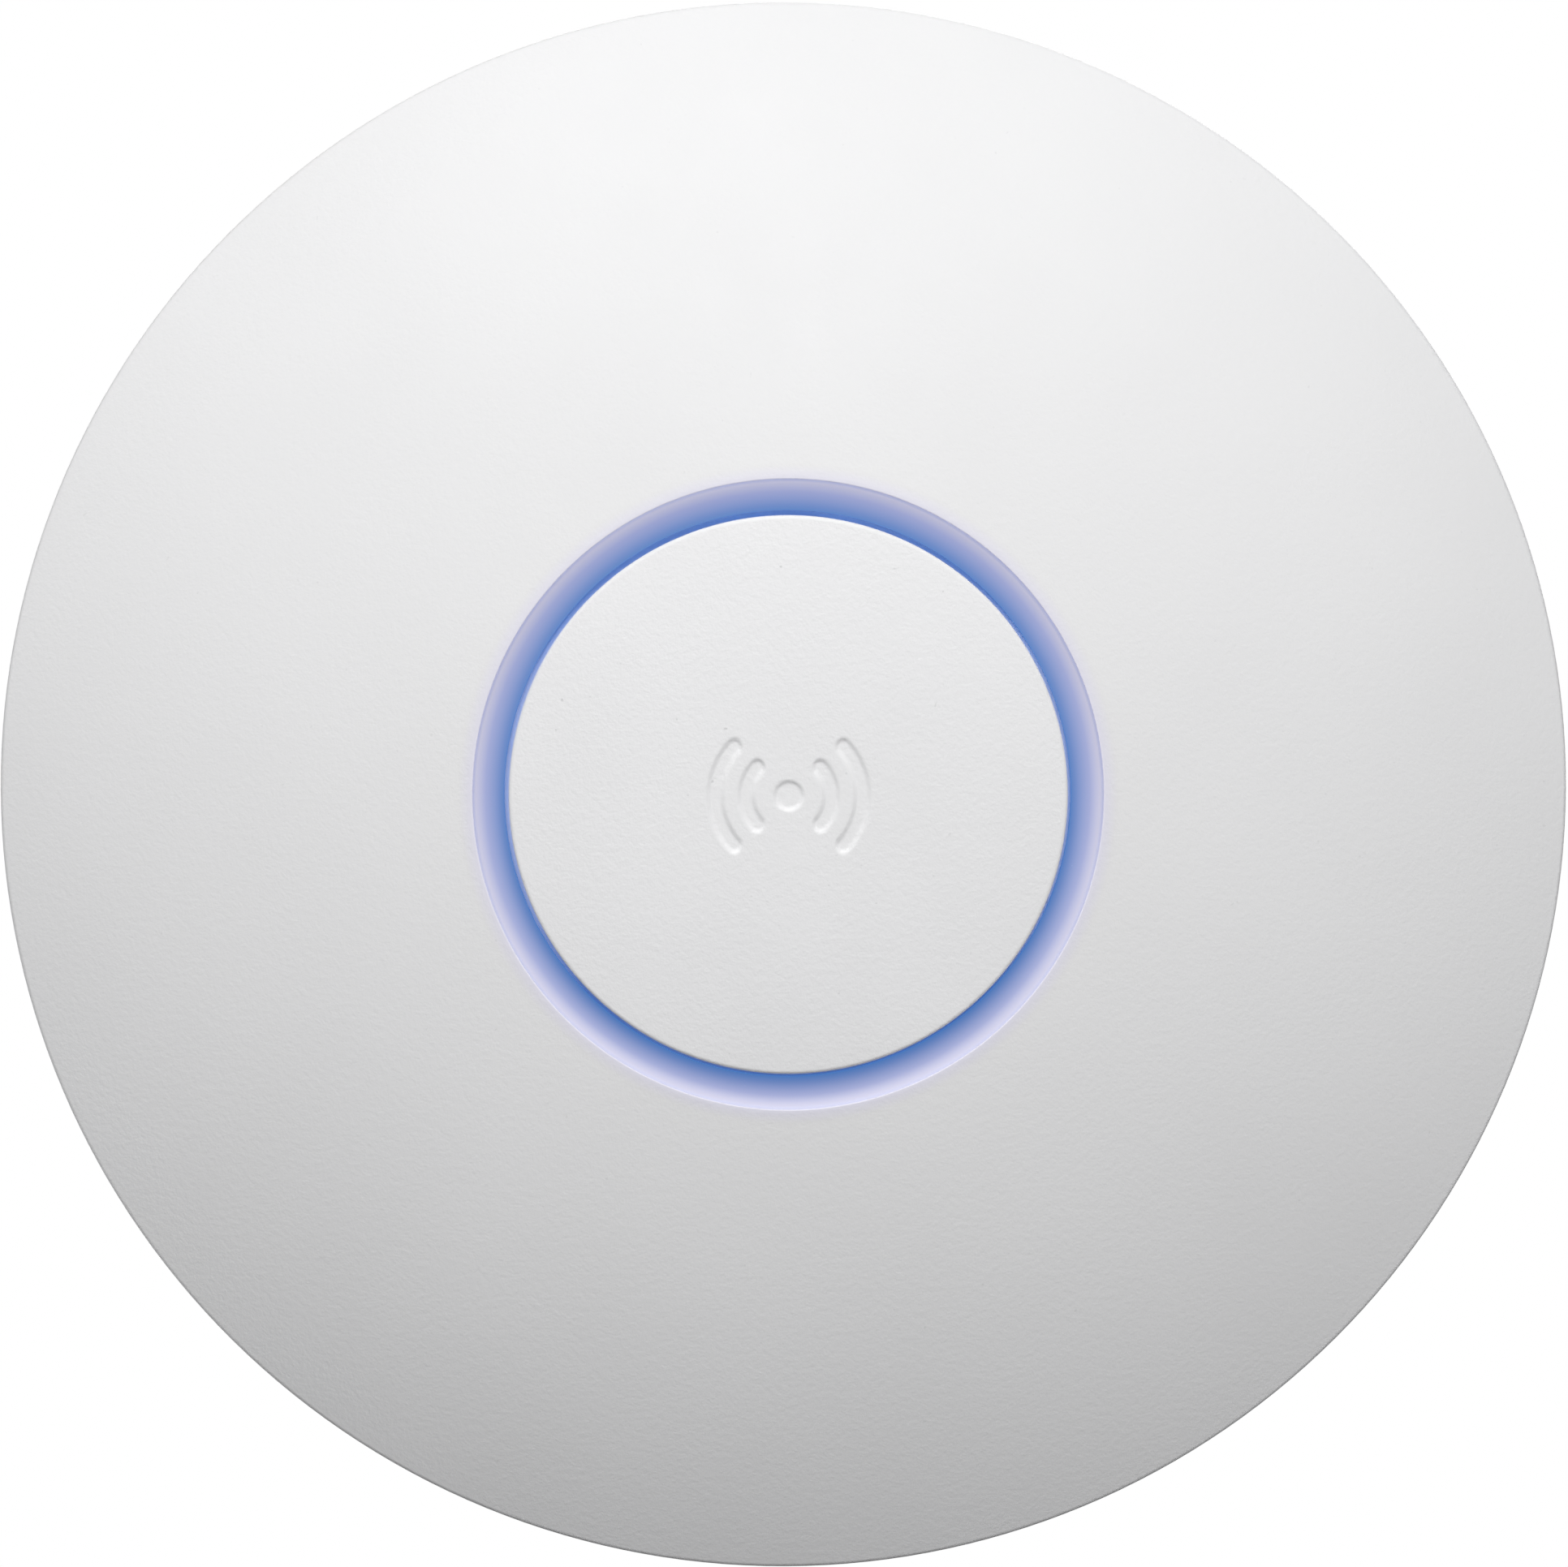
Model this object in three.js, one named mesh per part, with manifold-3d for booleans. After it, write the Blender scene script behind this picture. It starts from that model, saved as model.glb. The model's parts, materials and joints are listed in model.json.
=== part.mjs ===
// Ceiling access point: a shallow white dome with a blue light ring, hung from a twist-on bracket.
// Millimetres, +Z up into the ceiling. The ceiling is the plane z = 0 and everything hangs below it.
// The port bay is on the -Y side. Angles are in degrees, counted from +X towards +Y.
import * as THREE from 'three';
import { mergeVertices } from 'three/addons/utils/BufferGeometryUtils.js';
import Module from 'manifold-3d';

const wasm = await Module();
wasm.setup();

// ---- Driving dimensions -------------------------------------------------------------------------
const BODY_R = 98.35;          // the rim
const HEIGHT = 35;             // ceiling to the middle of the dome
const DOME_RISE = 21.5;        // from the middle of the dome up to its rim
const DOME_POWER = 2.4;        // how suddenly the dome turns up towards its rim
const COVER_WALL = 2.2;
const EDGE_ROUND = 1.5;        // rounding between the dome and the rim's upright edge
const SEAM_Z = -11;            // top of the front cover's rim
const SEAM_GAP = 0.8;          // filled by the rim gasket
const GASKET = { in: BODY_R - COVER_WALL + 0.05, out: BODY_R - 0.85 };
const GAP = 0.3;               // running clearance between pieces
const SINK_IN = 0.2;           // how far a boss or rib runs into what it stands on

const DISC = { r: 34.3, thick: 1.3, round: 0.5 };
const DISC_SKIRT = { in: 27.2, out: 29, high: 3.6, notch: 2.4, notchFrom: 0.6 };
const MARK = { dot: 1.7, arcs: [5.2, 9], half: 0.85, spread: 42, depth: 0.3 };
const GROOVE_R = 38.7;         // outer lip of the light groove
const COVE = { r: 34.9, z: -29.3, wall: 1.3, lipWall: 0.3, lipDrop: 0.1 };   // inner end of the groove

const GUIDE = { in: 29.3, out: 34, back: -27.6, legR: 31.6, leg: 1.8 };
const HOLDER = { in: 27.4, out: 36.4, gap: 0.1, thick: 1.2, foot: 1.5 };
const THIRDS = [30, 150, 270];
const LED = { count: 6, size: 2.8, h: 0.9 };

const SHELL_WALL = 2;          // back shell
const BACK_Z = -1.5;           // its flat back
const BACK_FLAT_R = 80;        // where the flat back starts to curve down
const BACK_BEND = [92.5, -2.4];
const BACK_BEND_INSIDE = [90.5, -4.4];
const FLANGE = { inset: 0.35, high: 0.6 };
const TONGUE = { inset: 0.55, thick: 1.8, deep: 1.7 };
const RECESS = { r: 59, z: -5.8, floor: 1.6, wall: 1.8 };   // round recess that the bracket sits in
const FLOOR_UNDER = RECESS.z - RECESS.floor;

const BOARD = { top: -20.9, thick: 1.6, r: 67 };
const BOARD_UNDER = BOARD.top - BOARD.thick;
const SPREADER = { top: -15.6, thick: 1.5, r: 62, standoff: 2.8 };
const SPREADER_UNDER = SPREADER.top - SPREADER.thick;
const SPREADER_RIB = { at: [20, 36], wide: 1.2, high: 3, from: 6, to: 40 };
const SPREADER_WINDOW = { x0: -29, x1: 35.5, y1: -1 };

const BAY = { half: 36, mouthY: -40, r: 70, floorZ: -20.5, wall: 1.6, margin: 2 };
const CHANNEL = { half: 4.5, floorZ: -9.5, wall: 1.6, end: -94.2 };

const JACK = { w: 16.2, depth: 21.3, h: 13, x: [-18.5, -0.5], nose: 2.2, noseLift: 0.7 };
const PLUG_HOLE = { w: 11.8, h: 6.8, depth: 14, sill: 1.3, tabW: 6.2, tabH: 2.6 };
const CONTACTS = { count: 8, pitch: 1.02, half: 0.23, long: 7, lift: 0.6, thick: 0.5 };
const CARRIER = { half: 5.2, deep: 3, high: 2.4 };
const TRANSFORMER = { half: 7.5, y0: -16, y1: -4, h: 5.8 };
const USB = { w: 14.5, depth: 14, h: 7, x: 18.2, wall: 0.95, roomDepth: 11.5 };
const TONGUE_BAR = { half: 5.6, from: 2.2, under: 0.2, over: 1.6 };
const RESET = { x: 30.4, z: -18, r: 1.9, stick: 1.2, end: -34.9, collarR: 2.8, collar: 0.8 };
const SWITCH = { half: 3.2, y0: -35.8, y1: -30, h: 6, blindTo: -34 };
const CAPACITOR = { r: 4, h: 10, x: [14, 25.5], y: -10 };
const INDUCTOR = { x: -40, y: -12.5, half: 3.5, h: 3.4 };

const CANS = [
  { name: 'processor_shield', x: 0, y: 16, w: 34, d: 28 },
  { name: 'radio_shield_1', x: -39, y: 13, w: 24, d: 24 },
  { name: 'radio_shield_2', x: 39, y: 13, w: 24, d: 24 },
];
const CAN = { h: 3, sheet: 0.5, padInset: 3 };

const BOARD_SCREWS = [[26, 40], [-26, 40], [-50, -12], [50, -12]];
const BOARD_SCREW_LENGTH = 12;
const COVER_SCREWS = { r: 76.5, angles: [28, 152, 233, 307], length: 11, bearing: -5 };
const SCREW = { r: 1.25, hole: 1.6, headR: 2.8, headH: 1.6, crossLong: 1.5, crossWide: 0.3, crossDeep: 0.9 };
const BOSS = { board: 3.2, shell: 4.8, shellFoot: -9, shellTop: -2.4, cover: 3.4, coverTop: -9.3 };
const PILOT = { boardTop: -9.4, coverFoot: -17.5 };

const PLATE = { r: 52, thick: 1.8, skirt: 2.5, hubR: 13, hubFoot: -3.6, ribHalf: 0.8, ribOuter: 50.5 };
const TAB = { r: 58, top: -3.6, thick: 1.6, half: 9, angles: [62, 145, 215, 325] };
const LUG = { r: 53, top: -1.8, thick: 1.5 };
const STOP = { r: 57, top: -2.4, wide: 2.5, clear: 0.5 };   // angles of a stop, in degrees
const HUMP = { before: 2.4, wide: 1.8 };
const UNLOCK_TURN = 22;
const SLOT = { at: 33, r: 1.9, run: 4.5, angles: [0, 55, 125, 180] };
const SMALL_HOLE = { at: 22, r: 1.8, angles: [25, 90, 155, 200, 340] };
const RIB_ANGLES = [22, 72, 108, 158, 202, 338];
const MOUTH = { half: 29, y: -20, round: 8 };
const FINGER = { r: 50.6, wall: 1.6, from: -21.8, to: 14, top: -2.8, under: -5.2 };
const NIB = { from: 8, r: 57.6, top: -3.2 };
const THUMB_PAD = { from: 8.6, top: -0.6 };
const FINGER_ROOM = { inward: 3.2, before: 0.7, after: 2.5, windowFrom: 6 };
const RELEASE = { half: 1.6, floor: -3 };

const AERIAL_ANGLES = [90, 205, 335];
const AERIAL = { sheet: 0.6, half: 14, in: 65, out: 78.5, fold: -9.5 };
const AERIAL_LEG = { to: -8, foot: -13 };
const AERIAL_ARM = { in: 67, to: 6, foot: -13.4 };
const AERIAL_FEED = { in: 67, out: 70, y: 4 };
const LEAD_R = 0.6;
const LEAD_PATH = [
  [61.6, 0, -20], [63.6, 0, -19.4], [64.4, 0, -16],
  [65, 1, -11], [66.2, 2, -7.5], [68, 2, -4.8],
];
const PLUG = { at: 60, half: 1.4, r: 1.1, pad: 0.4, high: 1.4 };

const FAR = 5;                 // how far a cutting tool runs past what it cuts
const RING_STEPS = 64;
const DISC_STEPS = 72;
const SMALL_STEPS = 20;
const TINY_STEPS = 12;

// ---- Shape helpers ------------------------------------------------------------------------------
const rad = THREE.MathUtils.degToRad;
const polar = (r, angle) => [r * Math.cos(rad(angle)), r * Math.sin(rad(angle))];
const domeZ = (r) => -HEIGHT + DOME_RISE * (r / BODY_R) ** DOME_POWER;
const domeSlope = (r) => (DOME_RISE * DOME_POWER / BODY_R) * (r / BODY_R) ** (DOME_POWER - 1);
const domeInsideZ = (r) => domeZ(r) + COVER_WALL * Math.hypot(1, domeSlope(r));

// A three.js geometry as a manifold solid.
function solid(geometry) {
  geometry.deleteAttribute('normal');
  geometry.deleteAttribute('uv');
  const welded = mergeVertices(geometry, 1e-4);
  const mesh = new wasm.Mesh({
    numProp: 3,
    vertProperties: new Float32Array(welded.attributes.position.array),
    triVerts: new Uint32Array(welded.index.array),
  });
  return new wasm.Manifold(mesh);
}

// A manifold solid as a three.js geometry.
function geometryOf(body) {
  const mesh = body.getMesh();
  const geometry = new THREE.BufferGeometry();
  geometry.setAttribute('position', new THREE.BufferAttribute(new Float32Array(mesh.vertProperties), 3));
  geometry.setIndex(new THREE.BufferAttribute(new Uint32Array(mesh.triVerts), 1));
  geometry.computeVertexNormals();
  return geometry;
}

const union = (...parts) => parts.flat(2).reduce((a, b) => a.add(b));
const cut = (body, ...tools) => tools.flat(2).reduce((a, b) => a.subtract(b), body);

// A box from its low corner to its high corner.
function box(x0, x1, y0, y1, z0, z1) {
  const g = new THREE.BoxGeometry(x1 - x0, y1 - y0, z1 - z0);
  g.translate((x0 + x1) / 2, (y0 + y1) / 2, (z0 + z1) / 2);
  return solid(g);
}

// An upright cylinder at (x, y).
function post(r, z0, z1, x = 0, y = 0, steps = SMALL_STEPS) {
  const g = new THREE.CylinderGeometry(r, r, z1 - z0, steps);
  g.rotateX(Math.PI / 2);
  g.translate(x, y, (z0 + z1) / 2);
  return solid(g);
}

// A cylinder along Y at (x, z).
function rod(r, y0, y1, x, z) {
  const g = new THREE.CylinderGeometry(r, r, y1 - y0, SMALL_STEPS);
  g.translate(x, (y0 + y1) / 2, z);
  return solid(g);
}

// A closed (r, z) outline turned about the Z axis.
function turned(outline) {
  const closed = [...outline, outline[0]].map(([r, z]) => new THREE.Vector2(r, z));
  if (THREE.ShapeUtils.isClockWise(closed)) closed.reverse();
  const g = new THREE.LatheGeometry(closed, RING_STEPS);
  g.rotateX(Math.PI / 2);
  return solid(g);
}

function extruded(shape, z0, z1, curveSegments) {
  const g = new THREE.ExtrudeGeometry(shape, { depth: z1 - z0, bevelEnabled: false, curveSegments });
  g.translate(0, 0, z0);
  return solid(g);
}

// A whole ring between two radii and two heights.
function ring(r0, r1, z0, z1) {
  const shape = new THREE.Shape();
  shape.absarc(0, 0, r1, 0, 2 * Math.PI, false);
  const hole = new THREE.Path();
  hole.absarc(0, 0, r0, 0, 2 * Math.PI, false);
  shape.holes.push(hole);
  return extruded(shape, z0, z1, RING_STEPS / 2);
}

// A stretch of such a ring between two angles. three.js draws an arc with twice the steps it is given.
function ringPart(r0, r1, z0, z1, from, to) {
  const shape = new THREE.Shape();
  shape.absarc(0, 0, r1, rad(from), rad(to), false);
  shape.absarc(0, 0, r0, rad(to), rad(from), true);
  shape.closePath();
  const steps = Math.max(2, Math.round(RING_STEPS * (to - from) / 720));
  return extruded(shape, z0, z1, steps);
}

// A curved stretch of an outline: a quadratic curve between two points, without its first point.
function curve(from, control, to, steps) {
  return Array.from({ length: steps }, (_, i) => {
    const t = (i + 1) / steps;
    return [0, 1].map((k) => (1 - t) ** 2 * from[k] + 2 * t * (1 - t) * control[k] + t * t * to[k]);
  });
}

// Numbers from a to b with both ends.
const span = (a, b, steps) => Array.from({ length: steps + 1 }, (_, i) => a + ((b - a) * i) / steps);

const turnedBy = (body, angle) => body.rotate([0, 0, angle]);

// ---- Materials ----------------------------------------------------------------------------------
const paint = (color, roughness, metalness = 0, extra = {}) => ({ color, roughness, metalness, ...extra });
const WHITE = paint(0xe9e9ea, 0.5);
const SHELL_WHITE = paint(0xdededf, 0.55);
const BRACKET_WHITE = paint(0xd8d8d6, 0.6);
const LIGHT_BLUE = paint(0x4b80c4, 0.3, 0, { emissive: 0x2a5fb4 });
const RUBBER_GREY = paint(0x8a8c90, 0.85);
const PURE_WHITE = paint(0xf4f4f4, 0.7);
const BOARD_GREEN = paint(0x1f5b41, 0.45);
const TINNED = paint(0xb9bcc0, 0.35, 1);
const ALUMINIUM = paint(0xb4b7ba, 0.45, 1);
const BLACK = paint(0x17181a, 0.5);
const PAD_BLUE = paint(0x8fb0c6, 0.9);
const GOLD = paint(0xd0a548, 0.3, 1);
const COAX = paint(0x2b2b2e, 0.55);
const STEEL = paint(0x9a9ca0, 0.35, 1);
const SLEEVE = paint(0x24344f, 0.4);
const LED_YELLOW = paint(0xe8e2b8, 0.4);

const part = new THREE.Group();
part.name = 'ceiling_access_point';

function add(name, body, look) {
  const mesh = new THREE.Mesh(geometryOf(body), new THREE.MeshStandardMaterial(look));
  mesh.name = name;
  part.add(mesh);
  return mesh;
}

// ---- Front cover: dome, light groove and screw bosses -------------------------------------------
function frontCover() {
  const lipZ = domeZ(GROOVE_R);
  const cove = [0, 30, 60, 90].map((t) => [
    COVE.r + (GROOVE_R - COVE.r) * Math.sin(rad(t)),
    lipZ + (COVE.z - lipZ) * Math.cos(rad(t)),
  ]);
  const edgeR = BODY_R - EDGE_ROUND;
  const edgeTop = domeZ(BODY_R) + EDGE_ROUND;
  const dome = span(GROOVE_R + 4, edgeR, 9).map((r) => [r, domeZ(r)]);
  const wallR = BODY_R - COVER_WALL - GAP / 2;
  const shell = turned([
    ...cove,
    ...dome,
    ...curve([edgeR, domeZ(edgeR)], [BODY_R, domeZ(BODY_R)], [BODY_R, edgeTop], 2),
    [BODY_R, SEAM_Z],
    [wallR, SEAM_Z],
    ...span(wallR, GROOVE_R + 2.4, 7).map((r) => [r, domeInsideZ(r)]),
    [GROOVE_R - COVE.lipWall, COVE.z - COVE.lipDrop],
    [COVE.r, COVE.z + COVE.wall],
  ]);
  const spots = COVER_SCREWS.angles.map((angle) => polar(COVER_SCREWS.r, angle));
  const room = insideOfDome();
  const bosses = spots.map(([x, y]) => post(BOSS.cover, -HEIGHT, BOSS.coverTop, x, y).intersect(room));
  const holes = spots.map(([x, y]) => post(SCREW.hole, PILOT.coverFoot, BOSS.coverTop + FAR, x, y));
  return cut(union(shell, bosses), holes);
}

// The space above the middle of the dome's wall.
function insideOfDome() {
  const middle = span(0, BODY_R, 10).map((r) => [r, (domeZ(r) + domeInsideZ(r)) / 2]);
  return turned([...middle, [BODY_R, 0], [0, 0]]);
}

// ---- Centre cap: the disc inside the light ring, with a plain signal mark pressed into it --------
function centreCap() {
  const rim = domeZ(DISC.r);
  const backZ = rim + DISC.thick;
  const face = span(0, DISC.r - DISC.round, 4).map((r) => [r, domeZ(r)]);
  const edge = curve(face.at(-1), [DISC.r, rim], [DISC.r, rim + DISC.round], 2);
  const disc = turned([...face, ...edge, [DISC.r, backZ], [0, backZ]]);
  const skirt = ring(DISC_SKIRT.in, DISC_SKIRT.out, backZ - SINK_IN, backZ + DISC_SKIRT.high);
  const half = DISC_SKIRT.notch / 2;
  const foot = backZ + DISC_SKIRT.notchFrom;
  const notch = box(DISC_SKIRT.in - 1, DISC_SKIRT.out + 1, -half, half, foot, backZ + FAR);
  const notches = THIRDS.map((angle) => turnedBy(notch, angle));
  return cut(union(disc, skirt), notches, signalMark());
}

// A dot between two pairs of arcs, all about the disc's middle.
function signalMark() {
  const [z0, z1] = [-HEIGHT - 1, -HEIGHT + MARK.depth];
  const arcs = MARK.arcs.flatMap((r) => [0, 180].map((angle) =>
    ringPart(r - MARK.half, r + MARK.half, z0, z1, angle - MARK.spread, angle + MARK.spread)));
  return union(post(MARK.dot, z0, z1), arcs);
}

// ---- Light ring: guide, holder and lamps ---------------------------------------------------------
const ledAngles = Array.from({ length: LED.count }, (_, i) => (i * 360) / LED.count);

function lightGuide() {
  const front = domeZ(DISC.r) + DISC.thick;
  const legTop = BOARD_UNDER - LED.h - GAP;
  const legs = ledAngles.map((angle) =>
    post(GUIDE.leg, GUIDE.back - SINK_IN, legTop, ...polar(GUIDE.legR, angle), TINY_STEPS));
  return union(ring(GUIDE.in, GUIDE.out, front, GUIDE.back), legs);
}

function guideHolder() {
  const [z0, z1] = [GUIDE.back + HOLDER.gap, GUIDE.back + HOLDER.gap + HOLDER.thick];
  const legHoles = ledAngles.map((angle) =>
    post(GUIDE.leg + GAP, z0 - FAR, z1 + FAR, ...polar(GUIDE.legR, angle), TINY_STEPS));
  const feet = THIRDS.map((angle) =>
    post(HOLDER.foot, z1 - SINK_IN, BOARD_UNDER, ...polar(GUIDE.legR, angle), TINY_STEPS));
  return union(cut(ring(HOLDER.in, HOLDER.out, z0, z1), legHoles), feet);
}

const ledBody = () => box(-LED.size / 2, LED.size / 2, -LED.size / 2, LED.size / 2, -LED.h, 0);

const rimGasket = () => ring(GASKET.in, GASKET.out, SEAM_Z, SEAM_Z + SEAM_GAP);

// ---- Back shell: recess for the bracket, port bay, cable channel, lugs and screw bosses ----------
function backShell() {
  const flangeZ = SEAM_Z + SEAM_GAP;
  const flangeR = BODY_R - FLANGE.inset;
  const tongueR = BODY_R - COVER_WALL - TONGUE.inset;
  const innerR = tongueR - TONGUE.thick;
  const underBack = BACK_Z - SHELL_WALL;
  const body = turned([
    [0, RECESS.z],
    [RECESS.r, RECESS.z],
    [RECESS.r, BACK_Z],
    [BACK_FLAT_R, BACK_Z],
    ...curve([BACK_FLAT_R, BACK_Z], BACK_BEND, [flangeR, flangeZ + FLANGE.high], 7),
    [flangeR, flangeZ],
    [tongueR, flangeZ],
    [tongueR, flangeZ - TONGUE.deep],
    [innerR, flangeZ - TONGUE.deep],
    ...curve([innerR, flangeZ], BACK_BEND_INSIDE, [BACK_FLAT_R - FLANGE.high, underBack], 5),
    [RECESS.r + RECESS.wall, underBack],
    [RECESS.r + RECESS.wall, FLOOR_UNDER],
    [0, FLOOR_UNDER],
  ]);
  const coverSpots = COVER_SCREWS.angles.map((angle) => polar(COVER_SCREWS.r, angle));
  const bossTop = FLOOR_UNDER + 2 * SINK_IN;
  const boardBosses = BOARD_SCREWS.map(([x, y]) => post(BOSS.board, SPREADER.top, bossTop, x, y));
  const coverBosses = coverSpots.map(([x, y]) => post(BOSS.shell, BOSS.shellFoot, BOSS.shellTop, x, y));
  const boardHoles = BOARD_SCREWS.map(([x, y]) => post(SCREW.hole, SPREADER.top - 1, PILOT.boardTop, x, y));
  const coverHoles = coverSpots.map(([x, y]) => [
    post(SCREW.hole, BOSS.shellFoot - 1, 0, x, y),
    post(SCREW.headR + 0.5, COVER_SCREWS.bearing, 0, x, y),
  ]);
  const shell = union(body, boardBosses, coverBosses, bayWalls(), channelWalls(), wallLugs());
  return cut(shell, boardHoles, coverHoles, bayPocket(), channelPocket(), mouthHoles(), releaseSlot());
}

// The port bay is bounded by its two sides, the mouth wall and an arc about the middle.
function baySpace(grow, z0, z1) {
  const side = BAY.half + grow;
  const slab = box(-side, side, -BAY.r - FAR, BAY.mouthY + grow, z0, z1);
  return slab.intersect(post(BAY.r + grow, z0 - 1, z1 + 1, 0, 0, RING_STEPS));
}

function bayWalls() {
  const walls = baySpace(BAY.wall, BAY.floorZ - BAY.wall, BACK_Z - 0.5);
  return cut(walls, post(RECESS.r, RECESS.z, 1, 0, 0, RING_STEPS));
}

const bayPocket = () => baySpace(0, BAY.floorZ, FAR);

// The cable leaves the bay sideways through this channel. Its walls end inside the shell's skin.
function channelWalls() {
  const side = CHANNEL.half + CHANNEL.wall;
  const walls = box(-side, side, CHANNEL.end, -BAY.r - BAY.wall / 2, CHANNEL.floorZ - CHANNEL.wall, BACK_Z);
  return walls.intersect(underTheSkin());
}

// The space under the middle of the shell's skin.
function underTheSkin() {
  const top = BACK_Z - SHELL_WALL / 2;
  const rimR = BODY_R - FLANGE.inset - SHELL_WALL / 2;
  const bend = BACK_BEND.map((value, k) => (value + BACK_BEND_INSIDE[k]) / 2);
  const start = [BACK_FLAT_R, top];
  const skin = curve(start, bend, [rimR, SEAM_Z + SEAM_GAP], 7);
  return turned([start, ...skin, [rimR, -HEIGHT], [0, -HEIGHT], [0, top]]);
}

const channelPocket = () => box(-CHANNEL.half, CHANNEL.half, -BODY_R - FAR, -BAY.r + 1, CHANNEL.floorZ, FAR);

// Lugs that rest on the bracket's tabs, the two stops that the lock finger's nib runs between, and
// the hump that the nib snaps over.
function wallLugs() {
  const onWall = (r, z0, z1, from, to) => ringPart(r, RECESS.r + 1, z0, z1, from, to);
  const lugs = TAB.angles.map((angle) =>
    onWall(LUG.r, LUG.top - LUG.thick, LUG.top, angle - TAB.half, angle + TAB.half));
  const foot = RECESS.z - 2 * SINK_IN;
  const shutStop = FINGER.to + STOP.clear;
  const openStop = NIB.from - UNLOCK_TURN - STOP.clear - STOP.wide;
  const stops = [shutStop, openStop].map((from) => onWall(STOP.r, foot, STOP.top, from, from + STOP.wide));
  const humpFrom = NIB.from - HUMP.before;
  return union(lugs, stops, onWall(NIB.r + GAP, foot, STOP.top, humpFrom, humpFrom + HUMP.wide));
}

// A thin tool reaches the lock finger along this slot in the back.
function releaseSlot() {
  const middle = (NIB.from + FINGER.to) / 2;
  return turnedBy(box(RECESS.r - 1, BODY_R, -RELEASE.half, RELEASE.half, RELEASE.floor, FAR), middle);
}

// Openings in the mouth wall for the jacks, the USB port and the reset button.
function mouthHoles() {
  const y0 = BAY.mouthY - 1;
  const y1 = BAY.mouthY + BAY.wall + 1;
  const hole = (x, w, h) => {
    const half = w / 2 + GAP;
    return box(x - half, x + half, y0, y1, BOARD.top - GAP, BOARD.top + h + GAP);
  };
  return [
    ...JACK.x.map((x) => hole(x, JACK.w, JACK.h)),
    hole(USB.x, USB.w, USB.h),
    rod(RESET.r + GAP, y0, y1, RESET.x, RESET.z),
  ];
}

// ---- Board, heat spreader and what they carry ----------------------------------------------------
function bayKeepOut() {
  const side = BAY.half + BAY.margin;
  return box(-side, side, -BAY.r - 2 * FAR, BAY.mouthY + BAY.margin, -HEIGHT, 0);
}

const boardScrewHoles = () => BOARD_SCREWS.map(([x, y]) => post(SCREW.hole, -HEIGHT, 0, x, y));

function mainBoard() {
  const disc = post(BOARD.r, BOARD_UNDER, BOARD.top, 0, 0, DISC_STEPS);
  return cut(disc, bayKeepOut(), boardScrewHoles());
}

function heatSpreader() {
  const plate = post(SPREADER.r, SPREADER_UNDER, SPREADER.top, 0, 0, DISC_STEPS);
  const { x0, x1, y1 } = SPREADER_WINDOW;
  const window = box(x0, x1, -BAY.r - 2 * FAR, y1, -HEIGHT, 0);
  const standoffTop = SPREADER_UNDER + SINK_IN;
  const standoffs = BOARD_SCREWS.map(([x, y]) => post(SPREADER.standoff, BOARD.top, standoffTop, x, y));
  const { at, wide, high, from, to } = SPREADER_RIB;
  const rib = (x) => box(x, x + wide, from, to, SPREADER.top - SINK_IN, SPREADER.top + high);
  const ribs = at.map((x) => [rib(x), rib(-x - wide)]);
  return cut(union(cut(plate, window, bayKeepOut()), standoffs, ribs), boardScrewHoles());
}

// A box about a can's middle, smaller than the can by inset on each side.
function canBox({ x, y, w, d }, inset, z0, z1) {
  const [a, b] = [w / 2 - inset, d / 2 - inset];
  return box(x - a, x + a, y - b, y + b, z0, z1);
}

function shieldCan(can) {
  const top = BOARD.top + CAN.h;
  return cut(canBox(can, 0, BOARD.top, top), canBox(can, CAN.sheet, BOARD.top - 1, top - CAN.sheet));
}

const thermalPad = (can) => canBox(can, CAN.padInset, BOARD.top + CAN.h, SPREADER_UNDER);

// A network jack: a block with the plug hole and the slot for the plug's clip above it. Its nose is
// stepped up underneath so that it clears the bay's floor.
function networkJack(x) {
  const y0 = BAY.mouthY;
  const [x0, x1] = [x - JACK.w / 2, x + JACK.w / 2];
  const block = box(x0, x1, y0, y0 + JACK.depth, BOARD.top, BOARD.top + JACK.h);
  const step = box(x0 - 1, x1 + 1, y0 - 1, y0 + JACK.nose, BOARD.top - 1, BOARD.top + JACK.noseLift);
  const slot = (wide, z0, z1) => box(x - wide / 2, x + wide / 2, y0 - 1, y0 + PLUG_HOLE.depth, z0, z1);
  const sill = BOARD.top + PLUG_HOLE.sill;
  const roof = sill + PLUG_HOLE.h;
  const clipSlot = slot(PLUG_HOLE.tabW, roof - 0.5, roof + PLUG_HOLE.tabH);
  return cut(block, step, slot(PLUG_HOLE.w, sill, roof), clipSlot);
}

// Eight contact wires on one carrier, low in the plug hole.
function contactComb(x) {
  const floor = BOARD.top + PLUG_HOLE.sill;
  const back = BAY.mouthY + PLUG_HOLE.depth;
  const front = back - CARRIER.deep;
  const carrier = box(x - CARRIER.half, x + CARRIER.half, front, back, floor, floor + CARRIER.high);
  const foot = floor + CONTACTS.lift;
  const wires = Array.from({ length: CONTACTS.count }, (_, i) => {
    const wx = x + (i - (CONTACTS.count - 1) / 2) * CONTACTS.pitch;
    const [x0, x1] = [wx - CONTACTS.half, wx + CONTACTS.half];
    return box(x0, x1, front - CONTACTS.long, front + 0.1, foot, foot + CONTACTS.thick);
  });
  return union(carrier, wires);
}

const lineTransformer = (x) => box(
  x - TRANSFORMER.half, x + TRANSFORMER.half,
  TRANSFORMER.y0, TRANSFORMER.y1,
  BOARD.top, BOARD.top + TRANSFORMER.h,
);

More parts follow.
